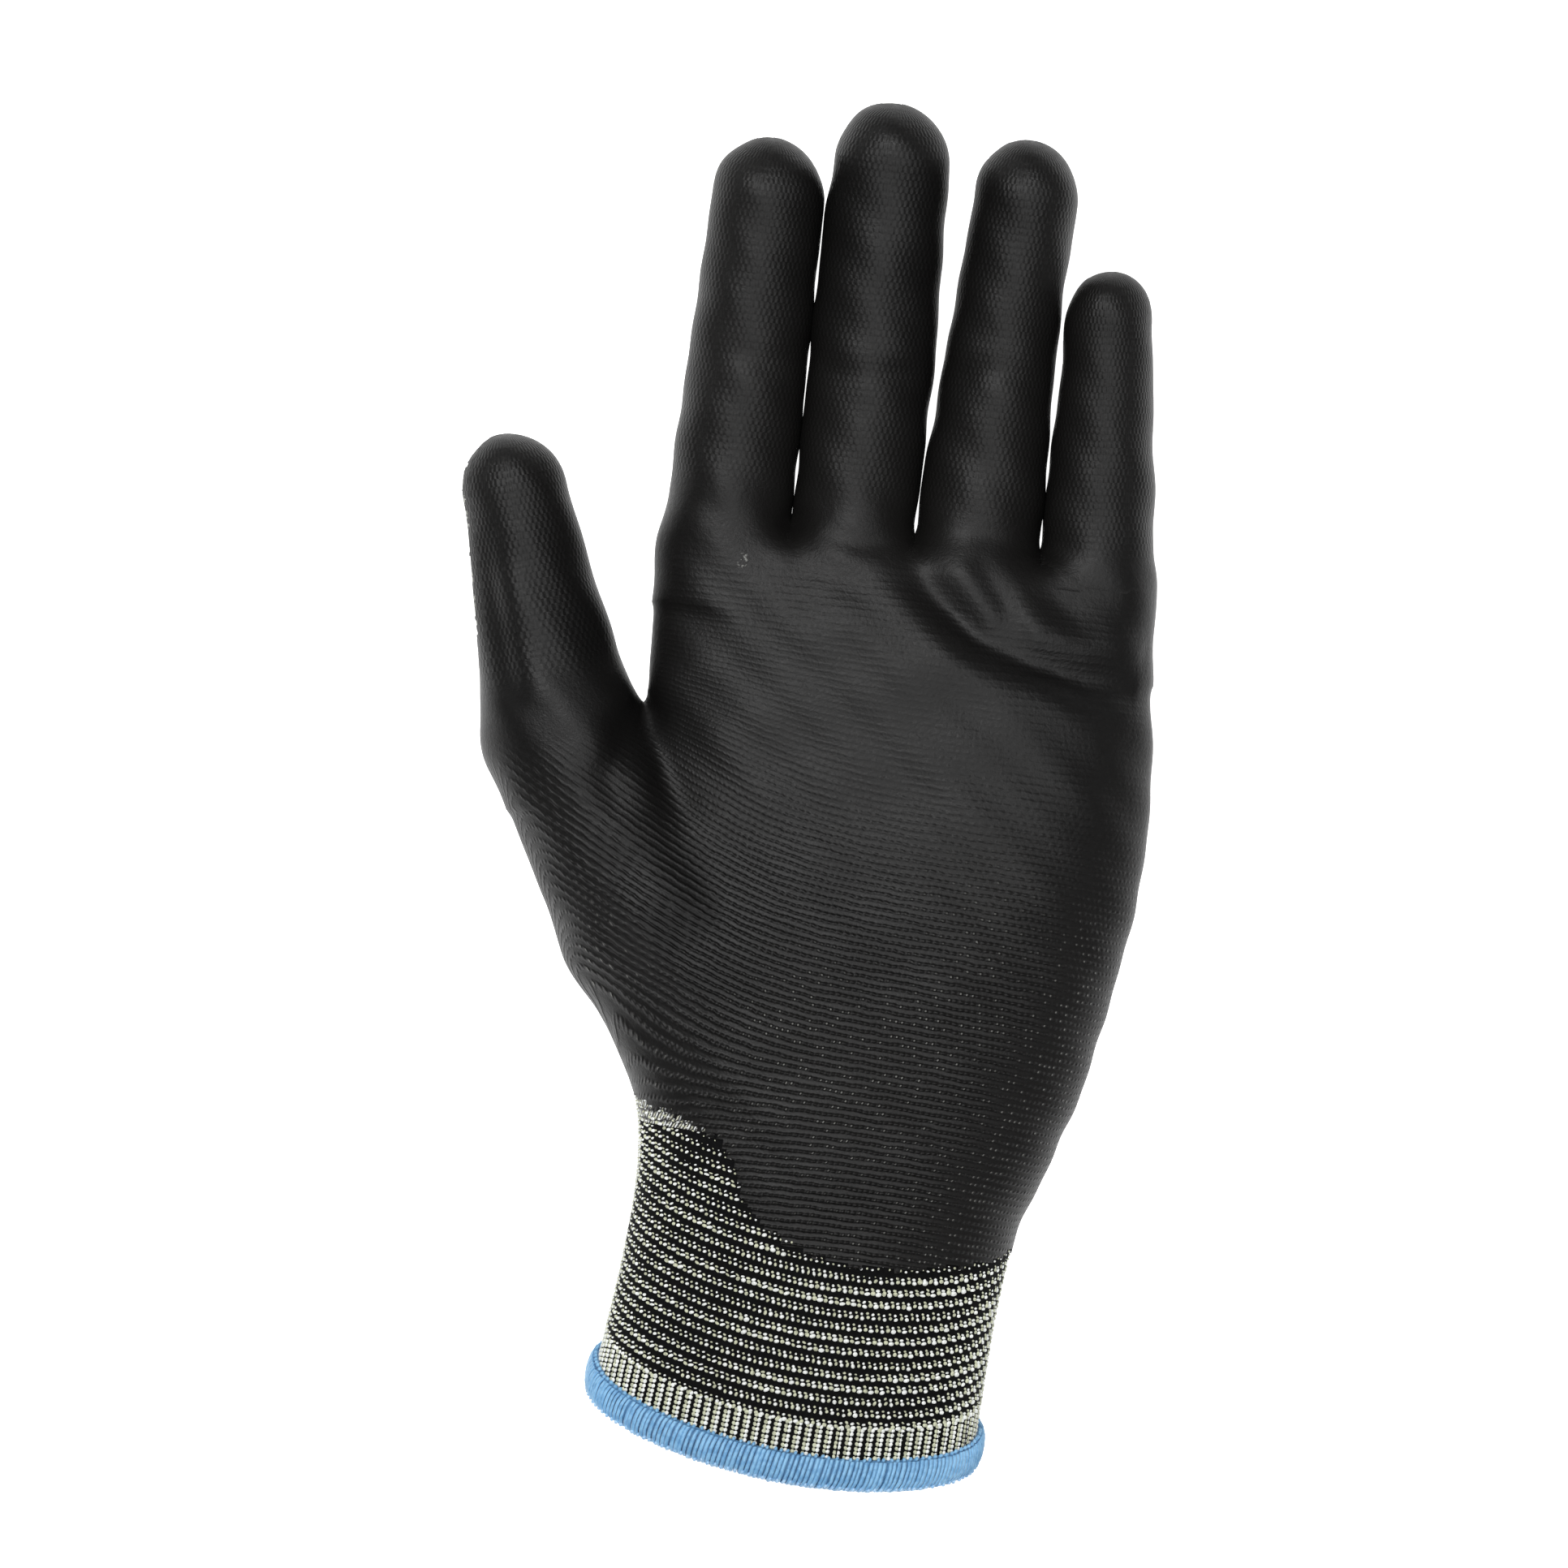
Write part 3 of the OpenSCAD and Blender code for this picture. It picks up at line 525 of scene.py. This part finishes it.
def mesh_object(name, verts_mm, faces, mats, attrs=None, normals=None, smooth_shade=True):
    me = bpy.data.meshes.new(name)
    faces = np.asarray(faces)
    me.vertices.add(len(verts_mm)); me.vertices.foreach_set('co', ((verts_mm + SH) / 1000.0).astype(np.float32).ravel())
    k = faces.shape[1]
    me.loops.add(faces.size); me.loops.foreach_set('vertex_index', faces.astype(np.int32).ravel())
    me.polygons.add(len(faces)); me.polygons.foreach_set('loop_start', np.arange(0, faces.size, k, dtype=np.int32))
    me.polygons.foreach_set('loop_total', np.full(len(faces), k, np.int32)) if hasattr(me.polygons, 'foreach_set') else None
    me.update(calc_edges=True)
    me.polygons.foreach_set('use_smooth', np.full(len(faces), smooth_shade))
    for nm, arr in (attrs or {}).items():
        a = me.attributes.new(nm, 'FLOAT', 'POINT'); a.data.foreach_set('value', np.asarray(arr, np.float32))
    if normals is not None:
        me.normals_split_custom_set_from_vertices(normals.astype(np.float32).tolist())
    for m in mats:
        me.materials.append(m)
    ob = bpy.data.objects.new(name, me); bpy.context.scene.collection.objects.link(ob)
    return ob


def shell(name, sel, off_out, off_in, mat, extra=None):
    """A closed skin over the chosen faces, between two offsets from the hand's surface."""
    q = Q[sel]
    used, inv = np.unique(q.ravel(), return_inverse=True)
    q = inv.reshape(-1, 4); m = len(used)
    Vo = V[used] + N[used] * off_out; Vi = V[used] + N[used] * off_in
    Vo[:, 2] = np.maximum(Vo[:, 2], 0.0); Vi[:, 2] = np.maximum(Vi[:, 2], -off_in * 0.0 + max(0.0, -off_in))
    E = np.vstack([q[:, [0, 1]], q[:, [1, 2]], q[:, [2, 3]], q[:, [3, 0]]])
    lo_, hi_ = E.min(1), E.max(1); code = lo_.astype(np.int64) * m + hi_
    u, first, cnt = np.unique(code, return_index=True, return_counts=True)
    B = E[first[cnt == 1]]
    wall = np.stack([B[:, 1], B[:, 0], B[:, 0] + m, B[:, 1] + m], 1)
    faces = np.vstack([q, q[:, ::-1] + m, wall])
    at_ = {'ku': np.tile(ku[used], 2), 'kv': np.tile(kv[used], 2), 'kb': np.tile(kb[used], 2), 'kf': np.tile(kf[used], 2), 'wr': np.tile(wr[used], 2), 'lay': np.concatenate([np.ones(m), np.zeros(m)])}
    nn = np.vstack([N[used], -N[used]])
    ob = mesh_object(name, np.vstack([Vo, Vi]), faces, [mat] + ([extra] if extra else []), at_, nn)
    if extra:
        mi = np.zeros(len(faces), np.int32); mi[len(q):2 * len(q)] = 1
        ob.data.polygons.foreach_set('material_index', mi)
    return ob


# ------------------------------------------------------------------ materials
class X:
    """Writes shader arithmetic as expressions."""
    def __init__(self, nt, s):
        self.nt, self.s = nt, s

    def _m(self, op, *o, clamp=False):
        nd = self.nt.nodes.new('ShaderNodeMath'); nd.operation = op; nd.use_clamp = clamp
        for i, v in enumerate((self,) + o):
            if isinstance(v, X):
                self.nt.links.new(v.s, nd.inputs[i])
            else:
                nd.inputs[i].default_value = float(v)
        return X(self.nt, nd.outputs[0])

    def __add__(self, o): return self._m('ADD', o)
    __radd__ = __add__
    def __mul__(self, o): return self._m('MULTIPLY', o)
    __rmul__ = __mul__
    def __sub__(self, o): return self._m('SUBTRACT', o)
    def __rsub__(self, o): return (self * -1.0) + o
    def abs(self): return self._m('ABSOLUTE')
    def frac(self): return self._m('FRACT')
    def floor(self): return self._m('FLOOR')
    def sin(self): return self._m('SINE')
    def cos(self): return self._m('COSINE')
    def mx(self, o): return self._m('MAXIMUM', o)
    def mn(self, o): return self._m('MINIMUM', o)
    def gt(self, o): return self._m('GREATER_THAN', o)
    def pow(self, o): return self._m('POWER', o)

    def ss(self, a, b):
        nd = self.nt.nodes.new('ShaderNodeMapRange'); nd.interpolation_type = 'SMOOTHSTEP'
        self.nt.links.new(self.s, nd.inputs['Value']); nd.inputs['From Min'].default_value = a; nd.inputs['From Max'].default_value = b
        return X(self.nt, nd.outputs[0])


def new_mat(name):
    m = bpy.data.materials.new(name); m.use_nodes = True
    nt = m.node_tree; b = nt.nodes['Principled BSDF']
    return m, nt, b


def attr(nt, name):
    a = nt.nodes.new('ShaderNodeAttribute'); a.attribute_name = name
    return X(nt, a.outputs['Fac'])


def noise(nt, scale, detail=2.0, rough=0.5):
    tc = nt.nodes.new('ShaderNodeTexCoord'); nz = nt.nodes.new('ShaderNodeTexNoise')
    nz.inputs['Scale'].default_value = scale; nz.inputs['Detail'].default_value = detail; nz.inputs['Roughness'].default_value = rough
    nt.links.new(tc.outputs['Object'], nz.inputs['Vector'])
    return X(nt, nz.outputs['Fac'])


def voronoi(nt, scale, feature='F1'):
    tc = nt.nodes.new('ShaderNodeTexCoord'); vz = nt.nodes.new('ShaderNodeTexVoronoi')
    vz.inputs['Scale'].default_value = scale; vz.feature = feature
    nt.links.new(tc.outputs['Object'], vz.inputs['Vector'])
    sep = nt.nodes.new('ShaderNodeSeparateColor'); nt.links.new(vz.outputs['Color'], sep.inputs[0])
    return X(nt, vz.outputs['Distance']), X(nt, sep.outputs[0])


def set_bump(nt, b, h, dist, strength=1.0):
    bp = nt.nodes.new('ShaderNodeBump'); bp.inputs['Distance'].default_value = dist; bp.inputs['Strength'].default_value = strength
    nt.links.new(h.s, bp.inputs['Height']); nt.links.new(bp.outputs[0], b.inputs['Normal'])


def mixc(nt, f, c0, c1):
    nd = nt.nodes.new('ShaderNodeMix'); nd.data_type = 'RGBA'
    nt.links.new(f.s, nd.inputs['Factor'])
    for i, c in ((6, c0), (7, c1)):
        if isinstance(c, tuple):
            nd.inputs[i].default_value = c + (1,)
        else:
            nt.links.new(c, nd.inputs[i])
    return nd.outputs[2]


TAU = 2 * math.pi


def coating_material():
    """A thin satin film: the courses of the knit stand up as fine ridges, with a pit at the stitches and, on some
    stitch heads, a painted highlight speck in a light grey base colour.
    """
    m, nt, b = new_mat('coating')
    u, v, kbx = attr(nt, 'ku'), attr(nt, 'kv'), attr(nt, 'kb')
    n1 = noise(nt, 420, 2); n2 = noise(nt, 1500, 3, 0.6); big = noise(nt, 26, 3)
    vv = v + (n1 - 0.5) * 0.42
    row = (vv * TAU).sin() * 0.5 + 0.5
    ridge = row.pow(2.4)
    half = (vv.floor() * 0.5).frac()
    col = ((u * 1.35 + half + (n1 - 0.5) * 0.5) * TAU).sin() * 0.5 + 0.5
    kfx = attr(nt, 'kf')
    palm_h = ridge * (col * 0.45 + 0.55) * 1.05
    fing_h = (col * 0.7 + row * col * 0.5) * 0.55
    h = (palm_h * (1.0 - kfx) + fing_h * kfx) * kbx + n2 * 0.26 + noise(nt, 3200, 2) * 0.14 + noise(nt, 700, 2) * 0.16
    set_bump(nt, b, h, 0.00027, 1.0)
    wn = nt.nodes.new('ShaderNodeTexWhiteNoise'); wn.noise_dimensions = '2D'
    cb = nt.nodes.new('ShaderNodeCombineXYZ')
    nt.links.new((u * 1.35 + half).floor().s, cb.inputs[0]); nt.links.new(vv.floor().s, cb.inputs[1]); nt.links.new(cb.outputs[0], wn.inputs['Vector'])
    rnd = X(nt, wn.outputs['Value'])
    zone = (big.ss(0.44, 0.60) * 0.9 + 0.1) * kbx.ss(0.30, 0.95)
    worn = noise(nt, 2200, 1).ss(0.56, 0.60) * attr(nt, 'wr').ss(0.25, 0.6)
    # painted highlight: light grey specks on the tops of some stitch heads stand in for glints of light
    painted_highlight_speck = rnd.gt(0.74) * row.ss(0.80, 0.97) * col.ss(0.78, 0.95) * zone
    tone = mixc(nt, big.ss(0.3, 0.75), (0.0036, 0.0034, 0.0033), (0.0062, 0.0058, 0.0055))
    # the light grey is painted highlight on the specks and the worn spot's own colour
    nt.links.new(mixc(nt, painted_highlight_speck.mx(worn * 1.0), tone, (0.17, 0.17, 0.16)), b.inputs['Base Color'])
    r = big * 0.12 + 0.34 + n2 * 0.16
    nt.links.new(r.s, b.inputs['Roughness'])
    b.inputs['Specular IOR Level'].default_value = 0.25
    return m


def liner_material():
    """Plain knit: columns of slanted white and cream legs on black, courses a little apart."""
    m, nt, b = new_mat('liner')
    u, v, lay = attr(nt, 'ku'), attr(nt, 'kv'), attr(nt, 'lay')
    n1 = noise(nt, 700, 2)
    uu = u + (n1 - 0.5) * 0.22
    vv = v * 1.15 + (noise(nt, 420, 1) - 0.5) * 0.35
    fu = uu.frac(); fv0 = vv.frac()
    left = 1.0 - fu.gt(0.5)
    x = (fu - 0.5).abs() * 2.0                       # 0 at the column's middle, 1 at its edges
    fv = (vv + x * 0.42).frac()                      # legs slant upwards from the middle
    leg = (1.0 - (x - 0.46).abs() * 2.6).ss(0.0, 0.55) * ((fv - 0.5).abs() * -2.3 + 1.0).ss(0.0, 0.5)
    rnd = noise(nt, 900, 1)
    c = mixc(nt, left, (0.62, 0.62, 0.50), (0.82, 0.84, 0.83))
    c = mixc(nt, leg * (rnd.ss(0.30, 0.5) * 0.75 + 0.25), (0.008, 0.008, 0.009), c)
    nt.links.new(c, b.inputs['Base Color'])
    b.inputs['Roughness'].default_value = 0.78
    b.inputs['Sheen Weight'].default_value = 0.15
    set_bump(nt, b, leg * 1.0 + n1 * 0.2, 0.0003, 0.9)
    return m


def yarn_material(name, col, rough=0.6, dark=None, scale=1500):
    m, nt, b = new_mat(name)
    n1 = noise(nt, scale, 3, 0.65)
    dark = dark or tuple(c * 0.55 for c in col)
    nt.links.new(mixc(nt, n1.ss(0.32, 0.62), dark, col), b.inputs['Base Color'])
    b.inputs['Roughness'].default_value = rough
    b.inputs['Sheen Weight'].default_value = 0.2
    set_bump(nt, b, n1, 0.00012, 0.6)
    return m


M_COAT = coating_material()
M_LINER = liner_material()
M_BASE = yarn_material('black_ground', (0.0035, 0.0035, 0.0038), 0.9)
M_BASE.node_tree.nodes['Principled BSDF'].inputs['Sheen Weight'].default_value = 0.0
M_BASE.node_tree.nodes['Principled BSDF'].inputs['Specular IOR Level'].default_value = 0.12
M_WHITE = yarn_material('white_yarn', (0.93, 0.95, 0.93), 0.5, (0.70, 0.72, 0.69))
M_CREAM = yarn_material('cream_yarn', (0.66, 0.68, 0.50), 0.55, (0.36, 0.37, 0.26))
M_ELAST = yarn_material('elastic_yarn', (0.03, 0.03, 0.03), 0.55)
M_BLUE = yarn_material('blue_thread', (0.24, 0.50, 0.76), 0.5, (0.13, 0.34, 0.60), 900)
# darker copy of the blue thread: painted shade, used on the hem band between the wraps
M_BLUE_PAINTED_SHADE = yarn_material('blue_thread_painted_shade', (0.09, 0.25, 0.46), 0.6, (0.05, 0.16, 0.32), 900)
# lighter copy of the blue thread: painted highlight, used on the loops along the hem's lower edge
M_BLUE_PAINTED_HIGHLIGHT = yarn_material('blue_thread_painted_highlight', (0.42, 0.64, 0.86), 0.5, (0.24, 0.48, 0.78), 900)

# ------------------------------------------------------------------ the pieces
def m_(p):
    return tuple(float(c) for c in (np.asarray(p) + SH) / 1000.0)


def place(ob, k):
    if k == 0:
        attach(ob, 'palm'); return
    if k == 1:
        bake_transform(ob); return
    i, j = (k - 2) // 3, (k - 2) % 3
    nme = NAMES[i]; f = FING[nme]
    s = f['f'][j]
    if nme == 'thumb':
        a, b = [(-2.0, 8.0), (9.5, 19.5), (22.5, 35.5)][j]
    elif nme == 'little':
        a, b = [(1.0, 14.0), (17.0, 31.0), (33.0, 45.0)][j]
    else:
        a, b = [(s - 7.0, s + 7.5), (s - 8.0, s + 8.0), (s - 6.5, s + 6.5)][j]
    m_(at(f, a))
    m_(at(f, b))
    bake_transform(ob)


for k in np.unique(key):
    if k == 0:
        nm, ln, cn = 'palm', ['liner_palm'], ['coating_palm']
    elif k == 1:
        nm, ln, cn = 'wrist_and_cuff', ['wrist_fold', 'cuff_liner'], ['cuff_coating_edge']
    else:
        nme = NAMES[(k - 2) // 3]; b = '%s_%s' % (nme, SEGS[nme][(k - 2) % 3])
        nm, ln, cn = b, [b + '_liner', b + '_fold'], [b + '_coating']
    sel = key == k
    a = shell(nm + '_knit', sel, -0.02, -1.0, M_BASE if k == 1 else M_LINER, M_LINER if k == 1 else None)
    place(a, k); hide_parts(*ln)
    sc = sel & fcoat
    if sc.any():
        c = shell(nm + '_film', sc, 0.30, 0.0, M_COAT)
        place(c, k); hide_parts(*cn)

# ------------------------------------------------------------------ stitches of the cuff
def skin_point(a, y, off):
    """Point on the wrist or cuff wall at section angle a."""
    y = np.asarray(y, float); a = np.asarray(a, float)
    L, R, B, T, Nn = [np.interp(y, *t) for t in PT]
    hw, hd = (R - L) / 2 + off, (T - B) / 2 + off
    c, s = np.cos(a), np.sin(a)
    rr = (np.abs(c) ** Nn + np.abs(s) ** Nn) ** (-1 / Nn)
    z = (B + T) / 2 + hd * rr * s
    return np.stack([(L + R) / 2 + hw * rr * c, y, np.maximum(z, 0.0)], -1)


def section_angle(u):
    """u from 0 to 1 round the cuff, evenly spaced along the wall."""
    t, L = ARC_C
    return np.interp(np.asarray(u) % 1.0, L / L[-1], t)


def rim_y(a):
    return -105 - 5.5 * np.sin(a) - 2.8 * np.sin(a) ** 2 - 2.6 * np.cos(a)


def onto(P, off):
    """Moves points of the wrist out to the hand's own surface, which swells over the heel and the thumb's root."""
    P = np.array(P, float); m = P[:, 1] > -200
    for _ in range(3):
        if m.any():
            Q_ = P[m]; d_ = full(Q_) - off; g_ = grad(Q_)
            P[m] = Q_ - np.clip(d_ / np.maximum((g_ * g_).sum(1), 0.2), -3, 3)[:, None] * g_
    P[:, 2] = np.maximum(P[:, 2], 0.0)
    return P


DOME = []
for (rr, zz) in ((1.0, -0.25), (0.80, 0.62)):
    for i in range(8):
        t = 2 * math.pi * i / 8
        DOME.append((rr * math.cos(t), rr * math.sin(t), zz))
DOME.append((0, 0, 1.0))
DOME = np.array(DOME)
DOME_Q = [(i, (i + 1) % 8, 8 + (i + 1) % 8, 8 + i) for i in range(8)]
DOME_T = [(8 + i, 8 + (i + 1) % 8, 16, 16) for i in range(8)]


def blobs(name, u, y, su, sy, h, tilt, mat, off=0.0):
    """A dome of yarn for each stitch leg: u round the wall, y along it, sizes in mm, tilt in radians."""
    a = section_angle(u)
    c = onto(skin_point(a, y, off), off)
    e = 0.004
    p1 = skin_point(section_angle(u + e), y, off); p0 = skin_point(section_angle(u - e), y, off)
    tu = p1 - p0; tu /= np.linalg.norm(tu, axis=1)[:, None]
    ty = np.stack([np.zeros(len(u)), np.ones(len(u)), np.zeros(len(u))], 1)
    nn = np.cross(ty, tu); out = c - np.array([9.0, 0, 19.5]); out[:, 1] = 0
    nn *= np.sign((nn * out).sum(1))[:, None]; nn /= np.linalg.norm(nn, axis=1)[:, None]
    hand = np.sign((np.cross(tu, ty) * nn).sum(1))[:, None]
    ct, st = np.cos(tilt)[:, None], np.sin(tilt)[:, None]
    ex = tu * ct + ty * st; ey = (-tu * st + ty * ct) * hand
    P = c[:, None, :] + DOME[None, :, 0:1] * (su[:, None, None] * ex[:, None, :]) + DOME[None, :, 1:2] * (sy[:, None, None] * ey[:, None, :]) + DOME[None, :, 2:3] * (h[:, None, None] * nn[:, None, :])
    P[..., 2] = np.maximum(P[..., 2], 0.0)
    nb = len(u)
    base = np.arange(nb)[:, None, None] * 17
    quads = (np.array(DOME_Q)[None] + base).reshape(-1, 4)
    tris = (np.array([t[:3] for t in DOME_T])[None] + base).reshape(-1, 3)
    me = bpy.data.meshes.new(name)
    faces = [tuple(q) for q in quads.tolist()] + [tuple(t) for t in tris.tolist()]
    me.from_pydata(((P.reshape(-1, 3) + SH) / 1000.0).tolist(), [], faces)
    me.polygons.foreach_set('use_smooth', np.full(len(faces), True))
    me.materials.append(mat)
    ob = bpy.data.objects.new(name, me); bpy.context.scene.collection.objects.link(ob)
    return ob


def knit_rows():
    """Every stitch head of the wrist and cuff. Returns lists for the white and the cream legs."""
    rng = np.random.default_rng(7)
    NW = 88                                         # pairs of wales round the cuff
    top = -57.5
    W, C = [], []
    # striped part: every 2 mm a row of small heads, a row of large heads and a bare elastic course
    for r in range(0, 25):
        for k_, (dy, big) in enumerate(((0.0, 0), (-0.66, 1))):
            i = np.arange(NW)
            u0 = (i + 0.12 * (k_ == 0)) / NW
            a = section_angle(u0)
            yb = rim_y(a) + 9.4 + r * 2.08
            y = yb + dy + rng.normal(0, 0.045, NW)
            thick = 1.0 + 0.18 * np.sin(r * 1.7 + 2.0 * a)
            side = np.where(np.cos(a) < -0.35, 0.78, 1.0)
            su = (0.44 if big else 0.31) * thick * (1 + rng.normal(0, 0.10, NW)); sy = (0.36 if big else 0.24) * side * (1 + rng.normal(0, 0.12, NW))
            W.append((u0, y, su, sy, np.full(NW, 0.34 if big else 0.24), rng.normal(-0.25, 0.2, NW)))
            u1 = u0 + 0.5 / NW
            C.append((u1, y + 0.13, su * (0.80 if big else 0.95), sy * (1.05 if big else 0.9), np.full(NW, 0.30 if big else 0.22), rng.normal(0.35, 0.25, NW)))
    # dense band above the hem: columns of V stitches
    for r in range(0, 10):
        i = np.arange(NW + 10)
        nw = NW + 10
        u0 = i / nw; a = section_angle(u0); y = rim_y(a) + 1.2 + r * 0.80 + rng.normal(0, 0.04, nw)
        W.append((u0 - 0.17 / nw, y, np.full(nw, 0.35) * (1 + rng.normal(0, 0.1, nw)), np.full(nw, 0.40), np.full(nw, 0.26), rng.normal(0.5, 0.12, nw)))
        C.append((u0 + 0.17 / nw, y + 0.03, np.full(nw, 0.35) * (1 + rng.normal(0, 0.1, nw)), np.full(nw, 0.40), np.full(nw, 0.24), rng.normal(-0.5, 0.12, nw)))
    W = [np.concatenate(x) for x in zip(*W)]; C = [np.concatenate(x) for x in zip(*C)]
    return W, C


def trim(S, seed):
    u, y, su, sy, h, tl = S
    rng = np.random.default_rng(seed)
    a = section_angle(u); p = onto(skin_point(a, y, 0), 0.0)
    top = (np.sin(a) > -0.14) & (y > edge_y(p[:, 0]) + 0.35 + rng.normal(0, 0.5, len(u)))
    keep_ = ~top & ((y < -58.6) | ((np.sin(a) > -0.14) & (y < -54.5)))
    # at the coating's edge the heads that still show are small
    near = (np.sin(a) > -0.14) & (np.abs(y - edge_y(p[:, 0])) < 1.6)
    sc = np.where(near, 0.62, 1.0)
    return [x[keep_] for x in (u, y, su * sc, sy * sc, h, tl)]


Wt, Cr = knit_rows()
for nm, S, mat, sd in (('cuff_white_stitches', Wt, M_WHITE, 3), ('cuff_cream_stitches', Cr, M_CREAM, 4)):
    S = trim(S, sd)
    ob = blobs(nm, *S, mat)
    place(ob, 1)

# ------------------------------------------------------------------ hem
def hem():
    m = 420
    a = section_angle(np.arange(m) / m)
    # rounded band over the raw edge, in a darker copy of the blue thread: painted shade between the wraps
    prof = [(-2.1, 2.9), (-1.2, 3.35), (0.25, 3.35), (0.95, 2.9), (1.15, 2.0), (1.2, 0.9), (1.1, -0.2), (0.75, -1.0), (0.0, -1.45), (-0.6, -1.5), (-1.3, -1.3), (-1.8, -0.7), (-2.1, 0.3), (-2.25, 1.5)]
    q = len(prof)
    P = np.stack([skin_point(a, rim_y(a) + py, po) for po, py in prof], 1).reshape(-1, 3)
    F = []
    for k in range(m):
        for j in range(q):
            F.append((k * q + j, ((k + 1) % m) * q + j, ((k + 1) % m) * q + (j + 1) % q, k * q + (j + 1) % q))
    ob = mesh_object('hem_band', P, np.array(F), [M_BLUE_PAINTED_SHADE])
    # wraps of thread over it
    n2 = 215; pts = []; F = []; ring = 5
    base = 0
    path = [(1.05, 3.1), (1.42, 2.2), (1.5, 1.0), (1.42, -0.3), (1.0, -1.3), (0.1, -1.85), (-0.9, -1.85), (-1.8, -1.3), (-2.3, -0.2)]
    rng = np.random.default_rng(5)
    for i in range(n2):
        u = (i + rng.normal(0, 0.06)) / n2
        aa = section_angle(np.array([u + 0.0012 * t for t in range(len(path))])); r = 0.31 * (1 + rng.normal(0, 0.10))
        c = np.stack([skin_point(aa[t:t + 1], rim_y(aa[t:t + 1]) + path[t][1] + rng.normal(0, 0.05), path[t][0])[0] for t in range(len(path))])
        du = skin_point(section_angle(np.array([u + 0.002])), rim_y(aa[:1]), 1.0)[0] - skin_point(section_angle(np.array([u - 0.002])), rim_y(aa[:1]), 1.0)[0]
        du /= np.linalg.norm(du)
        for t in range(len(path)):
            tg = c[min(t + 1, len(path) - 1)] - c[max(t - 1, 0)]; tg /= np.linalg.norm(tg)
            n_ = np.cross(tg, du); n_ /= np.linalg.norm(n_)
            for k in range(ring):
                b_ = 2 * math.pi * k / ring
                p = c[t] + r * 1.25 * math.cos(b_) * du + r * math.sin(b_) * n_
                pts.append((p[0], p[1], max(p[2], 0.0)))
            if t:
                for k in range(ring):
                    F.append((base + (t - 1) * ring + k, base + (t - 1) * ring + (k + 1) % ring, base + t * ring + (k + 1) % ring, base + t * ring + k))
        base += len(path) * ring
    ob2 = mesh_object('hem_wraps', np.array(pts), np.array(F), [M_BLUE])
    return ob, ob2


hb, hw_ = hem()
for o in (hb, hw_):
    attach(o, 'cuff')
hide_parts('cuff_hem_overlock'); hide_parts('cuff_hem_stitches')

# loops of the lower thread show as specks along both edges of the hem; those on the lower edge are a lighter copy of
# the blue thread, a painted highlight
rng = np.random.default_rng(9)
for nm, yy, off, cnt, mt in (('hem_loops_upper', 3.42, 0.62, 150, M_BLUE), ('hem_loops_lower', -1.55, 1.0, 150, M_BLUE_PAINTED_HIGHLIGHT)):
    u = (np.arange(cnt) + rng.normal(0, 0.08, cnt)) / cnt
    a = section_angle(u)
    ob = blobs(nm, u, rim_y(a) + yy + rng.normal(0, 0.08, cnt), np.full(cnt, 0.30), np.full(cnt, 0.42), np.full(cnt, 0.42), rng.normal(0.3, 0.2, cnt), mt, off)
    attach(ob, 'cuff')

for nme_ in ('cuff_elastic_yarns',):
    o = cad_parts[nme_]
    for sl in o.material_slots:
        sl.material = M_ELAST
    if not o.material_slots:
        o.data.materials.append(M_ELAST)

# ------------------------------------------------------------------ floor, light, camera
bpy.ops.mesh.primitive_plane_add(size=6, location=(0, 0, -0.0004))
floor = bpy.context.object; floor.name = 'floor'
fm_, fnt, fb = new_mat('floor')
fb.inputs['Base Color'].default_value = (0.9, 0.9, 0.9, 1); fb.inputs['Roughness'].default_value = 0.9
fb.inputs['Emission Color'].default_value = (1, 1, 1, 1); fb.inputs['Emission Strength'].default_value = 1.0
floor.data.materials.append(fm_); floor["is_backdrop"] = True

w = bpy.data.worlds.new('world') if not bpy.context.scene.world else bpy.context.scene.world
bpy.context.scene.world = w; w.use_nodes = True
bg = w.node_tree.nodes.get('Background') or w.node_tree.nodes.new('ShaderNodeBackground')
bg.inputs[0].default_value = (1, 1, 1, 1); bg.inputs[1].default_value = 0.05


def area(name, loc, target, size, power, sy=None):
    l = bpy.data.lights.new(name, 'AREA'); l.energy = power; l.shape = 'RECTANGLE'; l.size = size; l.size_y = sy or size
    o = bpy.data.objects.new(name, l); bpy.context.scene.collection.objects.link(o); o.location = loc
    from mathutils import Vector
    o.rotation_euler = (Vector(target) - Vector(loc)).to_track_quat('-Z', 'Y').to_euler()
    return o


area('key', (-0.30, 0.40, 1.00), (0, 0, 0), 0.34, 8.0, 0.30)
area('fill', (0.34, 0.08, 1.05), (0, 0, 0), 0.20, 2.8, 0.6)
area('low', (0.03, -0.42, 1.05), (0, -0.03, 0), 0.4, 3.6, 0.18)

cam = bpy.data.cameras.new('cam'); cam.sensor_width = 36; cam.lens = 36 * 1.0 / 0.2705
co = bpy.data.objects.new('cam', cam); bpy.context.scene.collection.objects.link(co)
co.location = ((-6.44 + SH[0]) / 1000, (1.89 + SH[1]) / 1000, 1.018); co.rotation_euler = (0, 0, math.radians(7))
cam.clip_start = 0.01; cam.clip_end = 20
bpy.context.scene.camera = co

bpy.context.scene.view_settings.view_transform = 'Standard'

vl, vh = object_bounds()
